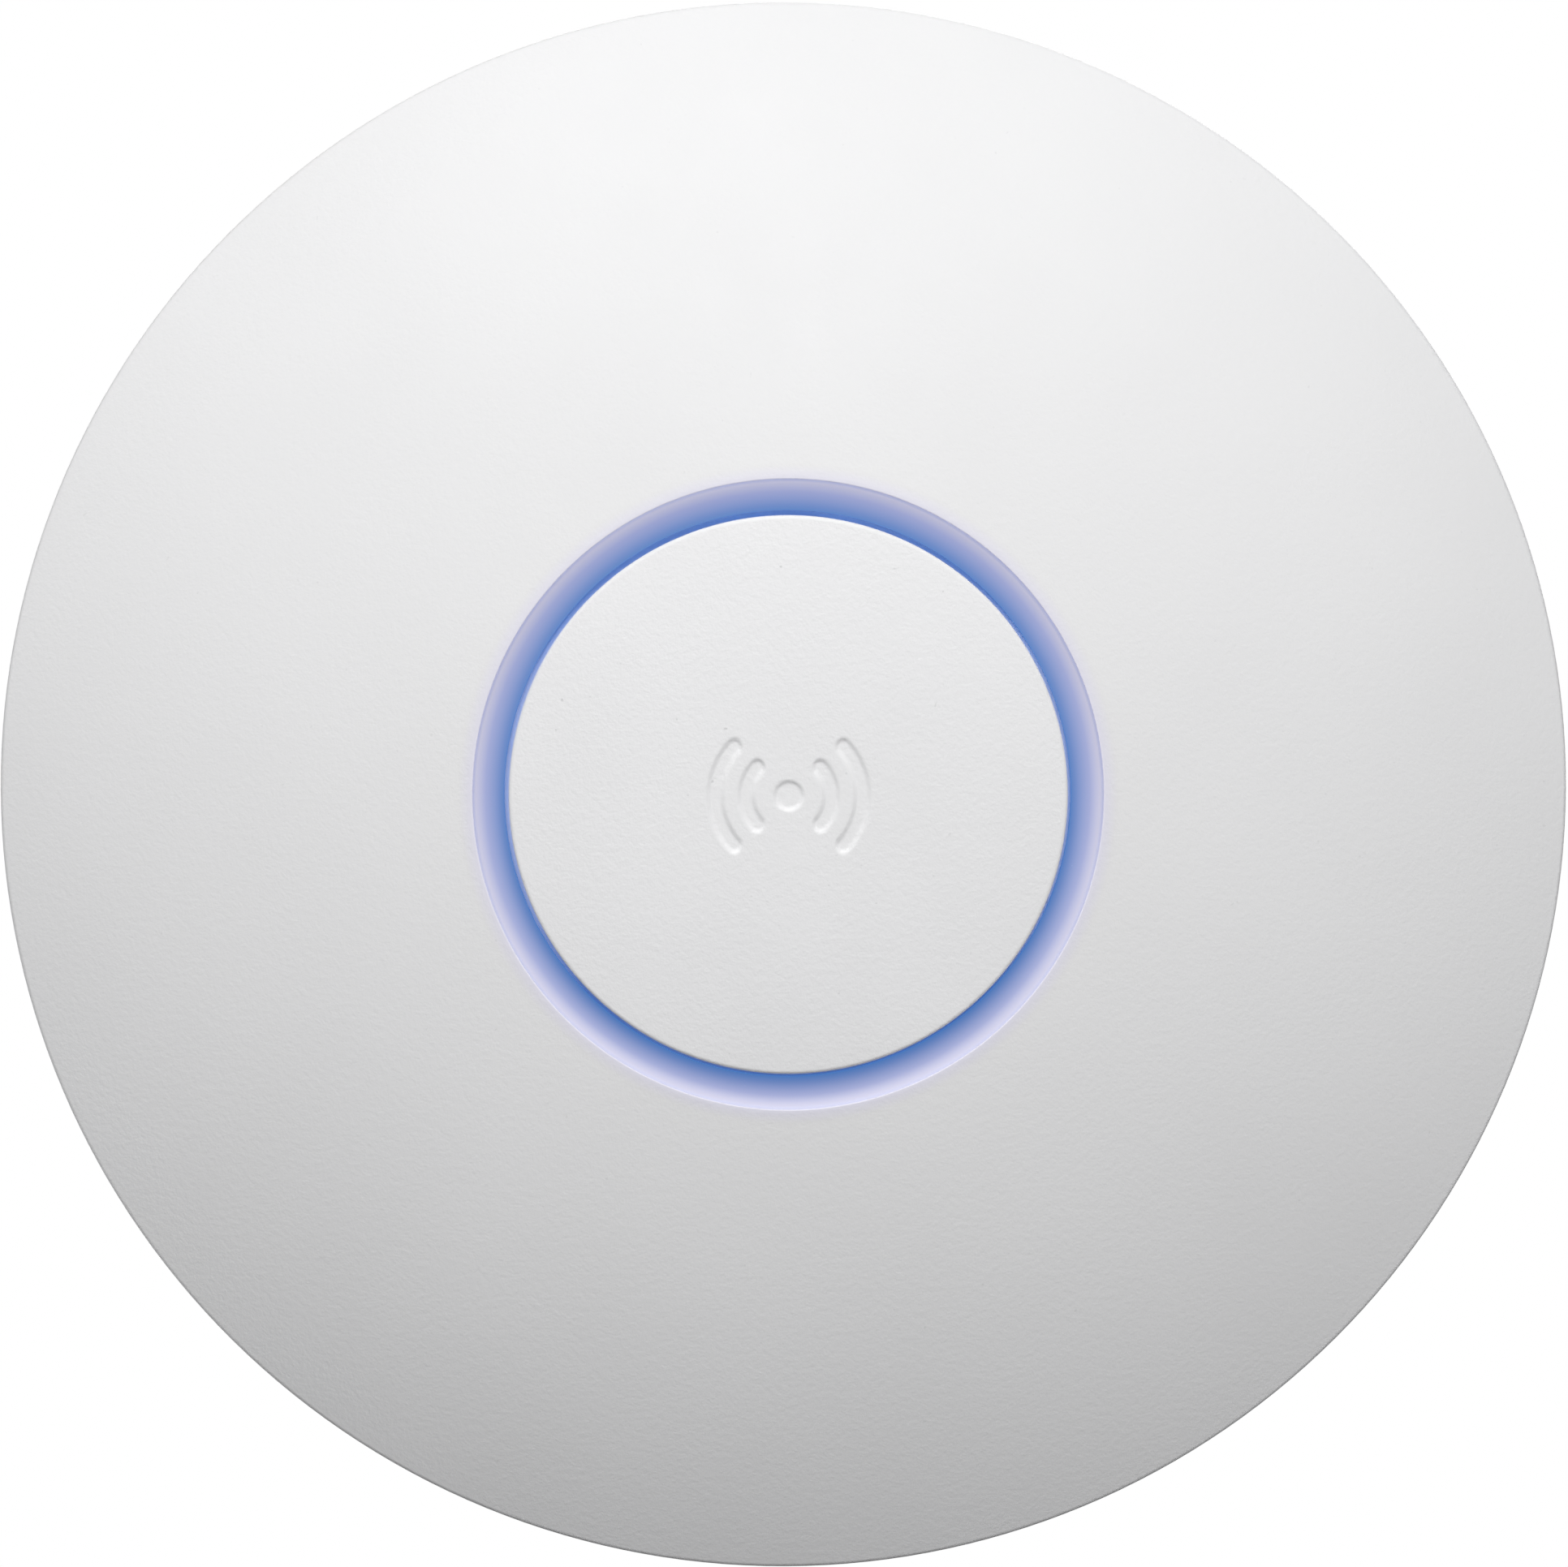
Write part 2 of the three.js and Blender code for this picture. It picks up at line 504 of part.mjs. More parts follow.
function usbShell() {
  const y0 = BAY.mouthY;
  const [x0, x1] = [USB.x - USB.w / 2, USB.x + USB.w / 2];
  const [z0, z1] = [BOARD.top, BOARD.top + USB.h];
  const block = box(x0, x1, y0, y0 + USB.depth, z0, z1);
  const room = box(x0 + USB.wall, x1 - USB.wall, y0 - 1, y0 + USB.roomDepth, z0 + USB.wall, z1 - USB.wall);
  return cut(block, room);
}

function usbTongue() {
  const [y0, y1] = [BAY.mouthY + TONGUE_BAR.from, BAY.mouthY + USB.roomDepth];
  const middle = BOARD.top + USB.h / 2;
  const [x0, x1] = [USB.x - TONGUE_BAR.half, USB.x + TONGUE_BAR.half];
  return box(x0, x1, y0, y1, middle - TONGUE_BAR.under, middle + TONGUE_BAR.over);
}

function resetSwitch() {
  const [x0, x1] = [RESET.x - SWITCH.half, RESET.x + SWITCH.half];
  const block = box(x0, x1, SWITCH.y0, SWITCH.y1, BOARD.top, BOARD.top + SWITCH.h);
  return cut(block, rod(RESET.r + GAP, SWITCH.y0 - 1, SWITCH.blindTo, RESET.x, RESET.z));
}

function resetButton() {
  const collarY = BAY.mouthY + BAY.wall + 0.2;
  const stem = rod(RESET.r, BAY.mouthY - RESET.stick, RESET.end, RESET.x, RESET.z);
  return union(stem, rod(RESET.collarR, collarY, collarY + RESET.collar, RESET.x, RESET.z));
}

const capacitor = (x) => post(CAPACITOR.r, BOARD.top, BOARD.top + CAPACITOR.h, x, CAPACITOR.y, 24);

function powerInductor() {
  const { x, y, half, h } = INDUCTOR;
  return box(x - half, x + half, y - half, y + half, BOARD.top, BOARD.top + h);
}

// ---- Aerials, their leads and plugs --------------------------------------------------------------
// A stamped strip folded from a foot down to a hanging arm. Drawn on +X and then turned into place.
function aerial() {
  const { sheet, half, out } = AERIAL;
  const top = BACK_Z - SHELL_WALL - GAP;
  const foot = box(AERIAL.in, out, -half, half, top - sheet, top);
  const wall = box(out - sheet, out, -half, half, AERIAL.fold, top);
  const leg = box(out - sheet, out, -half, AERIAL_LEG.to, AERIAL_LEG.foot, top);
  const arm = box(AERIAL_ARM.in, out, -half, AERIAL_ARM.to, AERIAL_ARM.foot, AERIAL_ARM.foot + sheet);
  const { y } = AERIAL_FEED;
  const feed = box(AERIAL_FEED.in, AERIAL_FEED.out, y, y + sheet, AERIAL_ARM.foot, top);
  return union(foot, wall, leg, arm, feed);
}

function coaxLead() {
  const path = new THREE.CatmullRomCurve3(LEAD_PATH.map((p) => new THREE.Vector3(...p)));
  const round = new THREE.Shape();
  round.absarc(0, 0, LEAD_R, 0, 2 * Math.PI, false);
  return solid(new THREE.ExtrudeGeometry(round, { steps: 12, curveSegments: 4, extrudePath: path }));
}

function coaxPlug() {
  const { at, half } = PLUG;
  const pad = box(at - half, at + half, -half, half, BOARD.top, BOARD.top + PLUG.pad);
  return union(pad, post(PLUG.r, BOARD.top + PLUG.pad / 2, BOARD.top + PLUG.high, at, 0, 14));
}

// ---- Screws --------------------------------------------------------------------------------------
// A pan-head screw with a cross recess. Its head bears on z = 0 and its shank points up to +Z.
function screw(length) {
  const head = post(SCREW.headR, -SCREW.headH, 0);
  const shank = post(SCREW.r, -SINK_IN, length, 0, 0, TINY_STEPS);
  const arm = (w, d) => box(-w, w, -d, d, -SCREW.headH - 1, -SCREW.headH + SCREW.crossDeep);
  const { crossLong, crossWide } = SCREW;
  return cut(union(head, shank), arm(crossLong, crossWide), arm(crossWide, crossLong));
}

// ---- Bracket and lock finger ---------------------------------------------------------------------
function bracket() {
  const rimZ = TAB.top - TAB.thick;
  const into = -PLATE.thick + SINK_IN;
  const plate = post(PLATE.r, -PLATE.thick, 0, 0, 0, RING_STEPS);
  const skirt = ring(PLATE.r - PLATE.skirt, PLATE.r, rimZ, into);
  const tabs = TAB.angles.map((angle) =>
    ringPart(PLATE.r - 1, TAB.r, rimZ, TAB.top, angle - TAB.half, angle + TAB.half));
  const hub = post(PLATE.hubR, PLATE.hubFoot, into, 0, 0, RING_STEPS / 2);
  const rib = box(PLATE.hubR - 1, PLATE.ribOuter, -PLATE.ribHalf, PLATE.ribHalf, PLATE.hubFoot, into);
  const ribs = RIB_ANGLES.map((angle) => turnedBy(rib, angle));
  return cut(union(plate, skirt, tabs, hub, ribs), cableMouth(), screwSlots(), smallHoles(), fingerRoom());
}

// The open side of the plate, over the port bay.
function cableMouth() {
  const { half, y, round } = MOUTH;
  const shape = new THREE.Shape();
  shape.moveTo(-half, -BAY.r);
  shape.lineTo(half, -BAY.r);
  shape.lineTo(half, y - round);
  shape.absarc(half - round, y - round, round, 0, Math.PI / 2, false);
  shape.lineTo(-half + round, y);
  shape.absarc(-half + round, y - round, round, Math.PI / 2, Math.PI, false);
  return extruded(shape, -2 * FAR, FAR, 6);
}

// Four straight round-ended slots for ceiling screws, each lying along a circle of 66 mm.
function screwSlots() {
  const { at, r, run } = SLOT;
  const ends = [-run, run].map((y) => post(r, -2 * FAR, FAR, at, y, TINY_STEPS));
  const slot = union(box(at - r, at + r, -run, run, -2 * FAR, FAR), ends);
  return SLOT.angles.map((angle) => turnedBy(slot, angle));
}

const smallHoles = () => SMALL_HOLE.angles.map((angle) =>
  post(SMALL_HOLE.r, -2 * FAR, FAR, ...polar(SMALL_HOLE.at, angle), TINY_STEPS));

// The gap in the plate's edge that the lock finger swings in, and the window over its nib.
function fingerRoom() {
  const inner = FINGER.r - FINGER.wall / 2 - FINGER_ROOM.inward;
  const end = FINGER.to + FINGER_ROOM.after;
  const start = FINGER.from - FINGER_ROOM.before;
  const under = ringPart(inner, TAB.r + 1, -2 * FAR, FINGER.top + GAP, start, end);
  return [under, ringPart(inner, TAB.r + 1, -2 * FAR, FAR, FINGER_ROOM.windowFrom, end)];
}

function lockFinger() {
  const [r0, r1] = [FINGER.r - FINGER.wall / 2, FINGER.r + FINGER.wall / 2];
  const arm = ringPart(r0, r1, FINGER.under, FINGER.top, FINGER.from, FINGER.to);
  const nib = ringPart(r1 - 0.4, NIB.r, FINGER.under, NIB.top, NIB.from, FINGER.to);
  const pad = ringPart(r0, r1, FINGER.under, THUMB_PAD.top, THUMB_PAD.from, FINGER.to);
  return union(arm, nib, pad);
}

// ---- Assembly ------------------------------------------------------------------------------------
function placed(mesh, x, y, z, angle = 0) {
  mesh.position.set(x, y, z);
  mesh.rotation.z = rad(angle);
}

add('mounting_bracket', bracket(), BRACKET_WHITE);
add('lock_finger', lockFinger(), BRACKET_WHITE);

add('front_cover', frontCover(), WHITE);
add('centre_cap', centreCap(), WHITE);
add('light_guide', lightGuide(), LIGHT_BLUE);
add('guide_holder', guideHolder(), PURE_WHITE);
add('rim_gasket', rimGasket(), RUBBER_GREY);
add('back_shell', backShell(), SHELL_WHITE);

add('main_board', mainBoard(), BOARD_GREEN);
add('heat_spreader', heatSpreader(), ALUMINIUM);
CANS.forEach((can, i) => {
  add(can.name, shieldCan(can), TINNED);
  add(`thermal_pad_${i + 1}`, thermalPad(can), PAD_BLUE);
});

JACK.x.forEach((x, i) => {
  add(`network_jack_${i + 1}`, networkJack(x), BLACK);
  add(`jack_contacts_${i + 1}`, contactComb(x), GOLD);
  add(`line_transformer_${i + 1}`, lineTransformer(x), BLACK);
});
add('usb_port', usbShell(), TINNED);
add('usb_tongue', usbTongue(), BLACK);
add('reset_switch', resetSwitch(), BLACK);
add('reset_button', resetButton(), BLACK);
CAPACITOR.x.forEach((x, i) => add(`capacitor_${i + 1}`, capacitor(x), SLEEVE));
add('power_inductor', powerInductor(), BLACK);

ledAngles.forEach((angle, i) => {
  placed(add(`ring_led_${i + 1}`, ledBody(), LED_YELLOW), ...polar(GUIDE.legR, angle), BOARD_UNDER, angle);
});

AERIAL_ANGLES.forEach((angle, i) => {
  placed(add(`aerial_${i + 1}`, aerial(), TINNED), 0, 0, 0, angle);
  placed(add(`aerial_lead_${i + 1}`, coaxLead(), COAX), 0, 0, 0, angle);
  placed(add(`aerial_plug_${i + 1}`, coaxPlug(), GOLD), 0, 0, 0, angle);
});

BOARD_SCREWS.forEach(([x, y], i) => {
  placed(add(`board_screw_${i + 1}`, screw(BOARD_SCREW_LENGTH), STEEL), x, y, BOARD_UNDER, 20 * i);
});
COVER_SCREWS.angles.forEach((angle, i) => {
  const mesh = add(`cover_screw_${i + 1}`, screw(COVER_SCREWS.length), STEEL);
  mesh.rotation.x = Math.PI;
  placed(mesh, ...polar(COVER_SCREWS.r, angle), COVER_SCREWS.bearing);
});

export default part;
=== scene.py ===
import json
import math

import bmesh
import bpy
from mathutils import Matrix, Vector


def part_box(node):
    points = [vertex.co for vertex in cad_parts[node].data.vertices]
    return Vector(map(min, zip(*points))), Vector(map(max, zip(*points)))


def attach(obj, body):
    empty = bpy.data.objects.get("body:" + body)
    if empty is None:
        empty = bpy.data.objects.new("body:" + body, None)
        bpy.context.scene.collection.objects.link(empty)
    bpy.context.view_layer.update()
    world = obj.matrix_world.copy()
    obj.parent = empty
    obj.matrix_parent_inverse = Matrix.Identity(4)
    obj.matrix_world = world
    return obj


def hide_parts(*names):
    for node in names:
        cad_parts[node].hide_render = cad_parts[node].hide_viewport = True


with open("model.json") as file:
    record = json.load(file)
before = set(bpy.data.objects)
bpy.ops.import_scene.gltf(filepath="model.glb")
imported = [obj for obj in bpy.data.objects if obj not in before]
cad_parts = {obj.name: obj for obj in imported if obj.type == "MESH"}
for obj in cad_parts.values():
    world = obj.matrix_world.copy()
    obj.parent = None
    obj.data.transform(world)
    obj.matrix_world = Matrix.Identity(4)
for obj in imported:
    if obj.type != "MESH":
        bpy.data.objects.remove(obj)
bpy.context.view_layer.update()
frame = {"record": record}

MM = 0.001
scene = bpy.context.scene


# ---- Dimensions, from the frame or as in the CAD ----
def low(node):
    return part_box(node)[0] / MM


def high(node):
    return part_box(node)[1] / MM


def mid(node):
    return (low(node) + high(node)) / 2


BODY_R = high("front_cover").x
HEIGHT = -low("centre_cap").z
SEAM_LOW = low("rim_gasket").z
SEAM_HIGH = high("rim_gasket").z
DISC_R = high("centre_cap").x
FLANGE_R = high("back_shell").y
BACK_Z = high("back_shell").z
BOARD_LOW = low("main_board").z
BOARD_HIGH = high("main_board").z

DOME_RISE = 21.5
DOME_POWER = 2.4
COVER_WALL = 2.2
EDGE_ROUND = 0.5          # crisper than the CAD's, as in the photograph
GROOVE_R = 38.7
COVE_R = 34.9
COVE_Z = -29.3
COVE_WALL = 1.3
LIP_ROUND = 0.22

SHELL_WALL = 2.0
BACK_FLAT_R = 80.0
RECESS_R = 59.0
RECESS_Z = -5.8
FLOOR_UNDER = RECESS_Z - 1.6
BAY_HALF, BAY_MOUTH_Y, BAY_R, BAY_FLOOR, BAY_WALL = 36.0, -40.0, 70.0, -20.5, 1.6
CHANNEL_HALF, CHANNEL_FLOOR, CHANNEL_END = 4.5, -9.5, -94.2
BACK_BEND, BACK_BEND_INSIDE = (92.5, -2.4), (90.5, -4.4)
TONGUE_INSET, TONGUE_THICK, TONGUE_DEEP = 0.55, 1.8, 1.7
GAP = 0.3
COVER_SCREWS = (28, 152, 233, 307)
COVER_SCREW_R = 76.5
COVER_SCREW_SEAT, COVER_BOSS_TOP, COVER_PILOT_FOOT = -5, -9.3, -17.5
SCREW_HOLE, SCREW_SHANK, SCREW_HEAD, SCREW_HEAD_HIGH = 1.6, 1.25, 2.8, 1.6
BOARD_SCREWS = ((26, 40), (-26, 40), (-50, -12), (50, -12))
BOARD_PILOT_END = -9.4

PLATE_R, PLATE_THICK, SKIRT, HUB_R = 52.0, 1.8, 2.5, 13.0
TAB_R, TAB_TOP, TAB_THICK, TAB_HALF = 58.0, -3.6, 1.6, 9
LUG_R, LUG_TOP, LUG_THICK = 53.0, -1.8, 1.5
TAB_ANGLES = (62, 145, 215, 325)
UNLOCK_TURN = 22
STOP_R = 57.0
FINGER_R, FINGER_WALL, FINGER_FROM, FINGER_TO, NIB_FROM, NIB_R = 50.6, 1.6, -24, 14, 8, 57.6
FINGER_TOP, FINGER_UNDER = -2.8, -5.2

ROUND_STEPS = 240
SHARP_ANGLE = 32          # an edge that turns by more degrees is shaded sharp
FLAT_AREA = 30.0          # a level area of more square millimetres is shaded flat
WELD = 1e-6               # metres
BEYOND, BELOW = 110, -60  # how far cutting tools reach, well clear of the object


def dome_z(r):
    return -HEIGHT + DOME_RISE * (r / BODY_R) ** DOME_POWER


def dome_slope(r):
    return DOME_RISE * DOME_POWER / BODY_R * (r / BODY_R) ** (DOME_POWER - 1)


def dome_inside_z(r):
    return dome_z(r) + COVER_WALL * math.hypot(1, dome_slope(r))


def linked(name, data):
    """A new object in the scene that holds the data."""
    obj = bpy.data.objects.new(name, data)
    scene.collection.objects.link(obj)
    return obj


# ---- Camera: under the object, looking up, a little towards the picture's top left ----
LENS, SENSOR = 150.0, 36.0
LEAN_UP, LEAN_LEFT = 2.38, 1.16      # degrees off the dome's axis
AIM_UP, AIM_RIGHT = 0.59, -0.15      # where the picture's middle lies from the rim's, in millimetres
PICTURE_FILL = 0.9983
rim_centre = Vector((0, 0, dome_z(BODY_R) + EDGE_ROUND)) * MM
back_way = Vector((-math.tan(math.radians(LEAN_LEFT)), -math.tan(math.radians(LEAN_UP)), -1)).normalized()
picture_up = Vector((0, -1, 0))
picture_up = (picture_up - back_way * picture_up.dot(back_way)).normalized()
distance = 2 * BODY_R * MM * LENS / SENSOR / PICTURE_FILL
camera_data = bpy.data.cameras.new("camera")
camera_data.lens = LENS
camera_data.sensor_width = SENSOR
camera_data.clip_start, camera_data.clip_end = 0.05, 100
camera = linked("camera", camera_data)
turn = Matrix((picture_up.cross(back_way), picture_up, back_way)).transposed()
aim = rim_centre + (picture_up * AIM_UP + picture_up.cross(back_way) * AIM_RIGHT) * MM
camera.matrix_world = Matrix.Translation(aim + back_way * distance) @ turn.to_4x4()
scene.camera = camera


# ---- Outlines, in the XY plane, anticlockwise ----
def arc(cx, cy, r, start, end, steps):
    angles = [math.radians(start + (end - start) * i / steps) for i in range(steps + 1)]
    return [(cx + r * math.cos(a), cy + r * math.sin(a)) for a in angles]


def circle(r, x=0.0, y=0.0, steps=40):
    return arc(x, y, r, 0, 360, steps)[:-1]


def rectangle(x0, x1, y0, y1):
    return [(x0, y0), (x1, y0), (x1, y1), (x0, y1)]


def sector(r0, r1, start, end, step=2.0):
    steps = max(3, round((end - start) / step))
    return arc(0, 0, r1, start, end, steps) + arc(0, 0, r0, end, start, steps)


def rounded(x0, x1, y0, y1, r, steps=6):
    return (arc(x1 - r, y1 - r, r, 0, 90, steps) + arc(x0 + r, y1 - r, r, 90, 180, steps)
            + arc(x0 + r, y0 + r, r, 180, 270, steps) + arc(x1 - r, y0 + r, r, 270, 360, steps))


def slot_shape(at, run, r):
    return arc(at, run, r, 0, 180, 12) + arc(at, -run, r, 180, 360, 12)


def turned_by(outline, angle):
    c, s = math.cos(math.radians(angle)), math.sin(math.radians(angle))
    return [(x * c - y * s, x * s + y * c) for x, y in outline]


def shifted(outline, dx, dy):
    return [(dx + x, dy + y) for x, y in outline]


def polar(r, angle):
    return r * math.cos(math.radians(angle)), r * math.sin(math.radians(angle))


def bezier(a, b, c, steps):
    """A quadratic curve from a to c, without its first point."""
    ts = [(i + 1) / steps for i in range(steps)]
    return [tuple((1 - t) ** 2 * a[k] + 2 * t * (1 - t) * b[k] + t * t * c[k] for k in (0, 1)) for t in ts]


def span(a, b, steps):
    return [a + (b - a) * i / steps for i in range(steps + 1)]


def grown(outline, d):
    """A closed outline moved out by d, corner by corner."""
    result = []
    for i, (x, y) in enumerate(outline):
        before, after = Vector(outline[i - 1]), Vector(outline[(i + 1) % len(outline)])
        here = Vector((x, y))
        e0, e1 = (here - before).normalized(), (after - here).normalized()
        n0, n1 = Vector((e0.y, -e0.x)), Vector((e1.y, -e1.x))
        middle = (n0 + n1).normalized()
        result.append(tuple(here + middle * (d / max(0.3, middle.dot(n0)))))
    return result


# ---- Meshes ----
def mend(mesh, weld=0.0):
    """Welds corners closer than weld, in metres, and turns every face outward."""
    bm = bmesh.new()
    bm.from_mesh(mesh)
    if weld:
        bmesh.ops.remove_doubles(bm, verts=bm.verts, dist=weld)
    bmesh.ops.recalc_face_normals(bm, faces=bm.faces)
    bm.to_mesh(mesh)
    bm.free()


def mesh_object(name, verts, faces):
    mesh = bpy.data.meshes.new(name)
    mesh.from_pydata([(x * MM, y * MM, z * MM) for x, y, z in verts], [], faces)
    mend(mesh)
    return linked(name, mesh)


def lathe(name, outline, steps=ROUND_STEPS):
    """A solid turned about Z from an (r, z) outline that closes on itself or starts and ends on the axis."""
    rings, verts, faces = [], [], []
    for r, z in outline:
        if r < 1e-6:
            rings.append([len(verts)])
            verts.append((0, 0, z))
            continue
        rings.append(list(range(len(verts), len(verts) + steps)))
        verts += [(x, y, z) for x, y in circle(r, steps=steps)]
    pairs = list(zip(rings, rings[1:] + rings[:1]))
    for a, b in pairs:
        if len(a) == 1 and len(b) == 1:
            continue
        for i in range(steps):
            j = (i + 1) % steps
            corners = [a[i % len(a)], a[j % len(a)], b[j % len(b)], b[i % len(b)]]
            faces.append(list(dict.fromkeys(corners)))
    return mesh_object(name, verts, faces)


def loft(name, levels):
    """A closed solid through outlines of equal length, given as (outline, z) from low to high."""
    n = len(levels[0][0])
    verts = [(x, y, z) for outline, z in levels for x, y in outline]
    faces = [list(range(n))[::-1], list(range(len(verts) - n, len(verts)))]
    for k in range(len(levels) - 1):
        for i in range(n):
            j = (i + 1) % n
            faces.append([k * n + i, k * n + j, (k + 1) * n + j, (k + 1) * n + i])
    return mesh_object(name, verts, faces)


def eased(outline, z, soft, way=1, steps=4, sweep=90):
    """Levels that round off an edge at z: way is 1 where the solid begins and -1 where it ends."""
    if not soft:
        return [(outline, z)]
    turns = [math.radians(sweep * i / steps) for i in range(steps + 1)]
    levels = [(grown(outline, -soft * (1 - math.sin(t))), z + way * soft * (1 - math.cos(t))) for t in turns]
    return levels[::way]


def block(name, outline, z0, z1, soft_low=0.0, soft_high=0.0, steps=4):
    """An upright prism whose low and high edges are rounded."""
    return loft(name, eased(outline, z0, soft_low, 1, steps) + eased(outline, z1, soft_high, -1, steps))


def pocket(outline, floor, surface, soft=0.3, deep_soft=0.0):
    """A tool that sinks an outline into a surface, with a rounded rim and a filleted floor."""
    steps, sweep, above = 4, 84, 3.0
    levels = eased(outline, floor, deep_soft, 1, steps, sweep)
    for i in range(steps + 1):
        t = math.radians(sweep * i / steps)
        levels.append((grown(outline, soft * (1 - math.cos(t))), surface - soft * (1 - math.sin(t))))
    levels.append((grown(outline, soft), surface + above))
    return loft("tool", levels)


def baked(obj):
    """An object's shape with its modifiers, as a new mesh."""
    graph = bpy.context.evaluated_depsgraph_get()
    return bpy.data.meshes.new_from_object(obj.evaluated_get(graph), depsgraph=graph)


def combine(base, tools, operation):
    for tool in tools:
        modifier = base.modifiers.new("boolean", "BOOLEAN")
        modifier.operation = operation
        modifier.solver = "MANIFOLD"
        modifier.object = tool
    plain, base.data = base.data, baked(base)
    base.modifiers.clear()
    bpy.data.meshes.remove(plain)
    for tool in tools:
        mesh = tool.data
        bpy.data.objects.remove(tool)
        bpy.data.meshes.remove(mesh)
    return base


def add(base, *tools):
    return combine(base, tools, "UNION")


def cut(base, *tools):
    return combine(base, tools, "DIFFERENCE")


def smoothed(obj, sharp=SHARP_ANGLE):
    """Welds and shades a finished mesh: smooth, with edges over the sharp angle kept."""
    bm = bmesh.new()
    bm.from_mesh(obj.data)
    bmesh.ops.remove_doubles(bm, verts=bm.verts, dist=2 * WELD)
    bmesh.ops.dissolve_degenerate(bm, edges=bm.edges, dist=WELD)
    bm.to_mesh(obj.data)
    bm.free()
    obj.data.shade_smooth()
    obj.data.set_sharp_from_angle(angle=math.radians(sharp))
    mark_flats(obj.data)
    normals = obj.modifiers.new("normals", "WEIGHTED_NORMAL")
    normals.keep_sharp = True
    normals.use_face_influence = True


def mark_flats(mesh):
    """Gives the faces of large level areas the say over their corners' normals, so that they shade flat."""
    strong, level = 16384, {}
    faces = [f for f in mesh.polygons if abs(f.normal.z) > 0.999999]
    for face in faces:
        height = round(face.center.z / MM, 2)
        level[height] = level.get(height, 0) + face.area / MM / MM
    strength = mesh.attributes.new("__mod_weightednormals_faceweight", "INT", "FACE")
    for face in faces:
        if level[round(face.center.z / MM, 2)] > FLAT_AREA:
            strength.data[face.index].value = strong


# ---- Materials ----
def new_material(name):
    made = bpy.data.materials.new(name)
    made.use_nodes = True
    return made, made.node_tree, made.node_tree.nodes["Principled BSDF"]


def set_input(tree, socket, value):
    """Links another node's output to the socket, or sets the socket's own value."""
    if isinstance(value, bpy.types.NodeSocket):
        tree.links.new(value, socket)
    else:
        socket.default_value = value


def node(tree, kind, inputs=None, **settings):
    made = tree.nodes.new("ShaderNode" + kind)
    for key, value in settings.items():
        setattr(made, key, value)
    for key, value in (inputs or {}).items():
        set_input(tree, made.inputs[key], value)
    return made


def feed(tree, shader, **values):
    """Sets or links a shader's inputs; an underscore in a name stands for a space."""
    for key, value in values.items():
        set_input(tree, shader.inputs[key.replace("_", " ")], value)


def maths(tree, operation, a, b):
    return node(tree, "Math", {0: a, 1: b}, operation=operation).outputs[0]


def place(tree):
    return node(tree, "TexCoord").outputs["Object"]


def noise(tree, size_mm, detail, rough=0.5, stretch=None, shift=0.0):
    """Noise whose lumps are about size_mm across, from 0 to 1."""
    where = place(tree)
    if stretch or shift:
        where = node(tree, "Mapping", {"Vector": where, "Scale": stretch or (1, 1, 1),
                                       "Location": (shift, shift, 0)}).outputs[0]
    scale = 1 / (size_mm * MM)
    return node(tree, "TexNoise", {"Vector": where, "Scale": scale, "Detail": detail,
                                   "Roughness": rough}).outputs["Fac"]


def between(tree, value, low_in, high_in, low_out=0.0, high_out=1.0):
    """The value spread from one range onto another, and held inside it."""
    return node(tree, "MapRange", {"Value": value, "From Min": low_in, "From Max": high_in,
                                   "To Min": low_out, "To Max": high_out}).outputs[0]


def patchy(tree, size_mm, detail, low_out=0.0, high_out=1.0, shift=0.0):
    """Soft patches about size_mm across, from low_out to high_out."""
    return between(tree, noise(tree, size_mm, detail, shift=shift), 0.3, 0.7, low_out, high_out)


def mixed(tree, factor, a, b, blend="MIX"):
    """A mix of two colours, each given as numbers or as a node's output."""
    made = node(tree, "Mix", {0: factor}, data_type="RGBA", blend_type=blend)
    for key, value in ((6, a), (7, b)):
        set_input(tree, made.inputs[key], (*value, 1) if isinstance(value, tuple) else value)
    return made.outputs[2]


def bumped(tree, height, relief_mm):
    return node(tree, "Bump", {"Height": height, "Distance": relief_mm * MM, "Strength": 1.0}).outputs[0]


def scaled(colour, k):
    return tuple(min(1.0, c * k) for c in colour)


def edge_wear_and_corner_shade(tree, colour, lift, corner_shade):
    """Lightens a colour on worn edges and darkens it in corners as painted shade, broken up by noise."""
    point = node(tree, "NewGeometry").outputs["Pointiness"]
    point = maths(tree, "ADD", point, patchy(tree, 1.3, 3, -0.02, 0.02))
    edges = between(tree, point, 0.53, 0.62)
    # Corners are darkened as painted shade.
    corners = between(tree, point, 0.46, 0.38)
    lighter = mixed(tree, edges, colour, (lift, lift, lift), "MULTIPLY")
    return mixed(tree, corners, lighter, (corner_shade, corner_shade, corner_shade), "MULTIPLY")


def grain(tree, size_mm):
    """The height of a spark-eroded mould's grain: soft lumps with finer ones on them."""
    lumps = noise(tree, size_mm, 2.5, 0.55)
    fine = noise(tree, size_mm * 0.4, 1.0, 0.5, shift=3.1)
    return maths(tree, "ADD", lumps, maths(tree, "MULTIPLY", fine, 0.35))


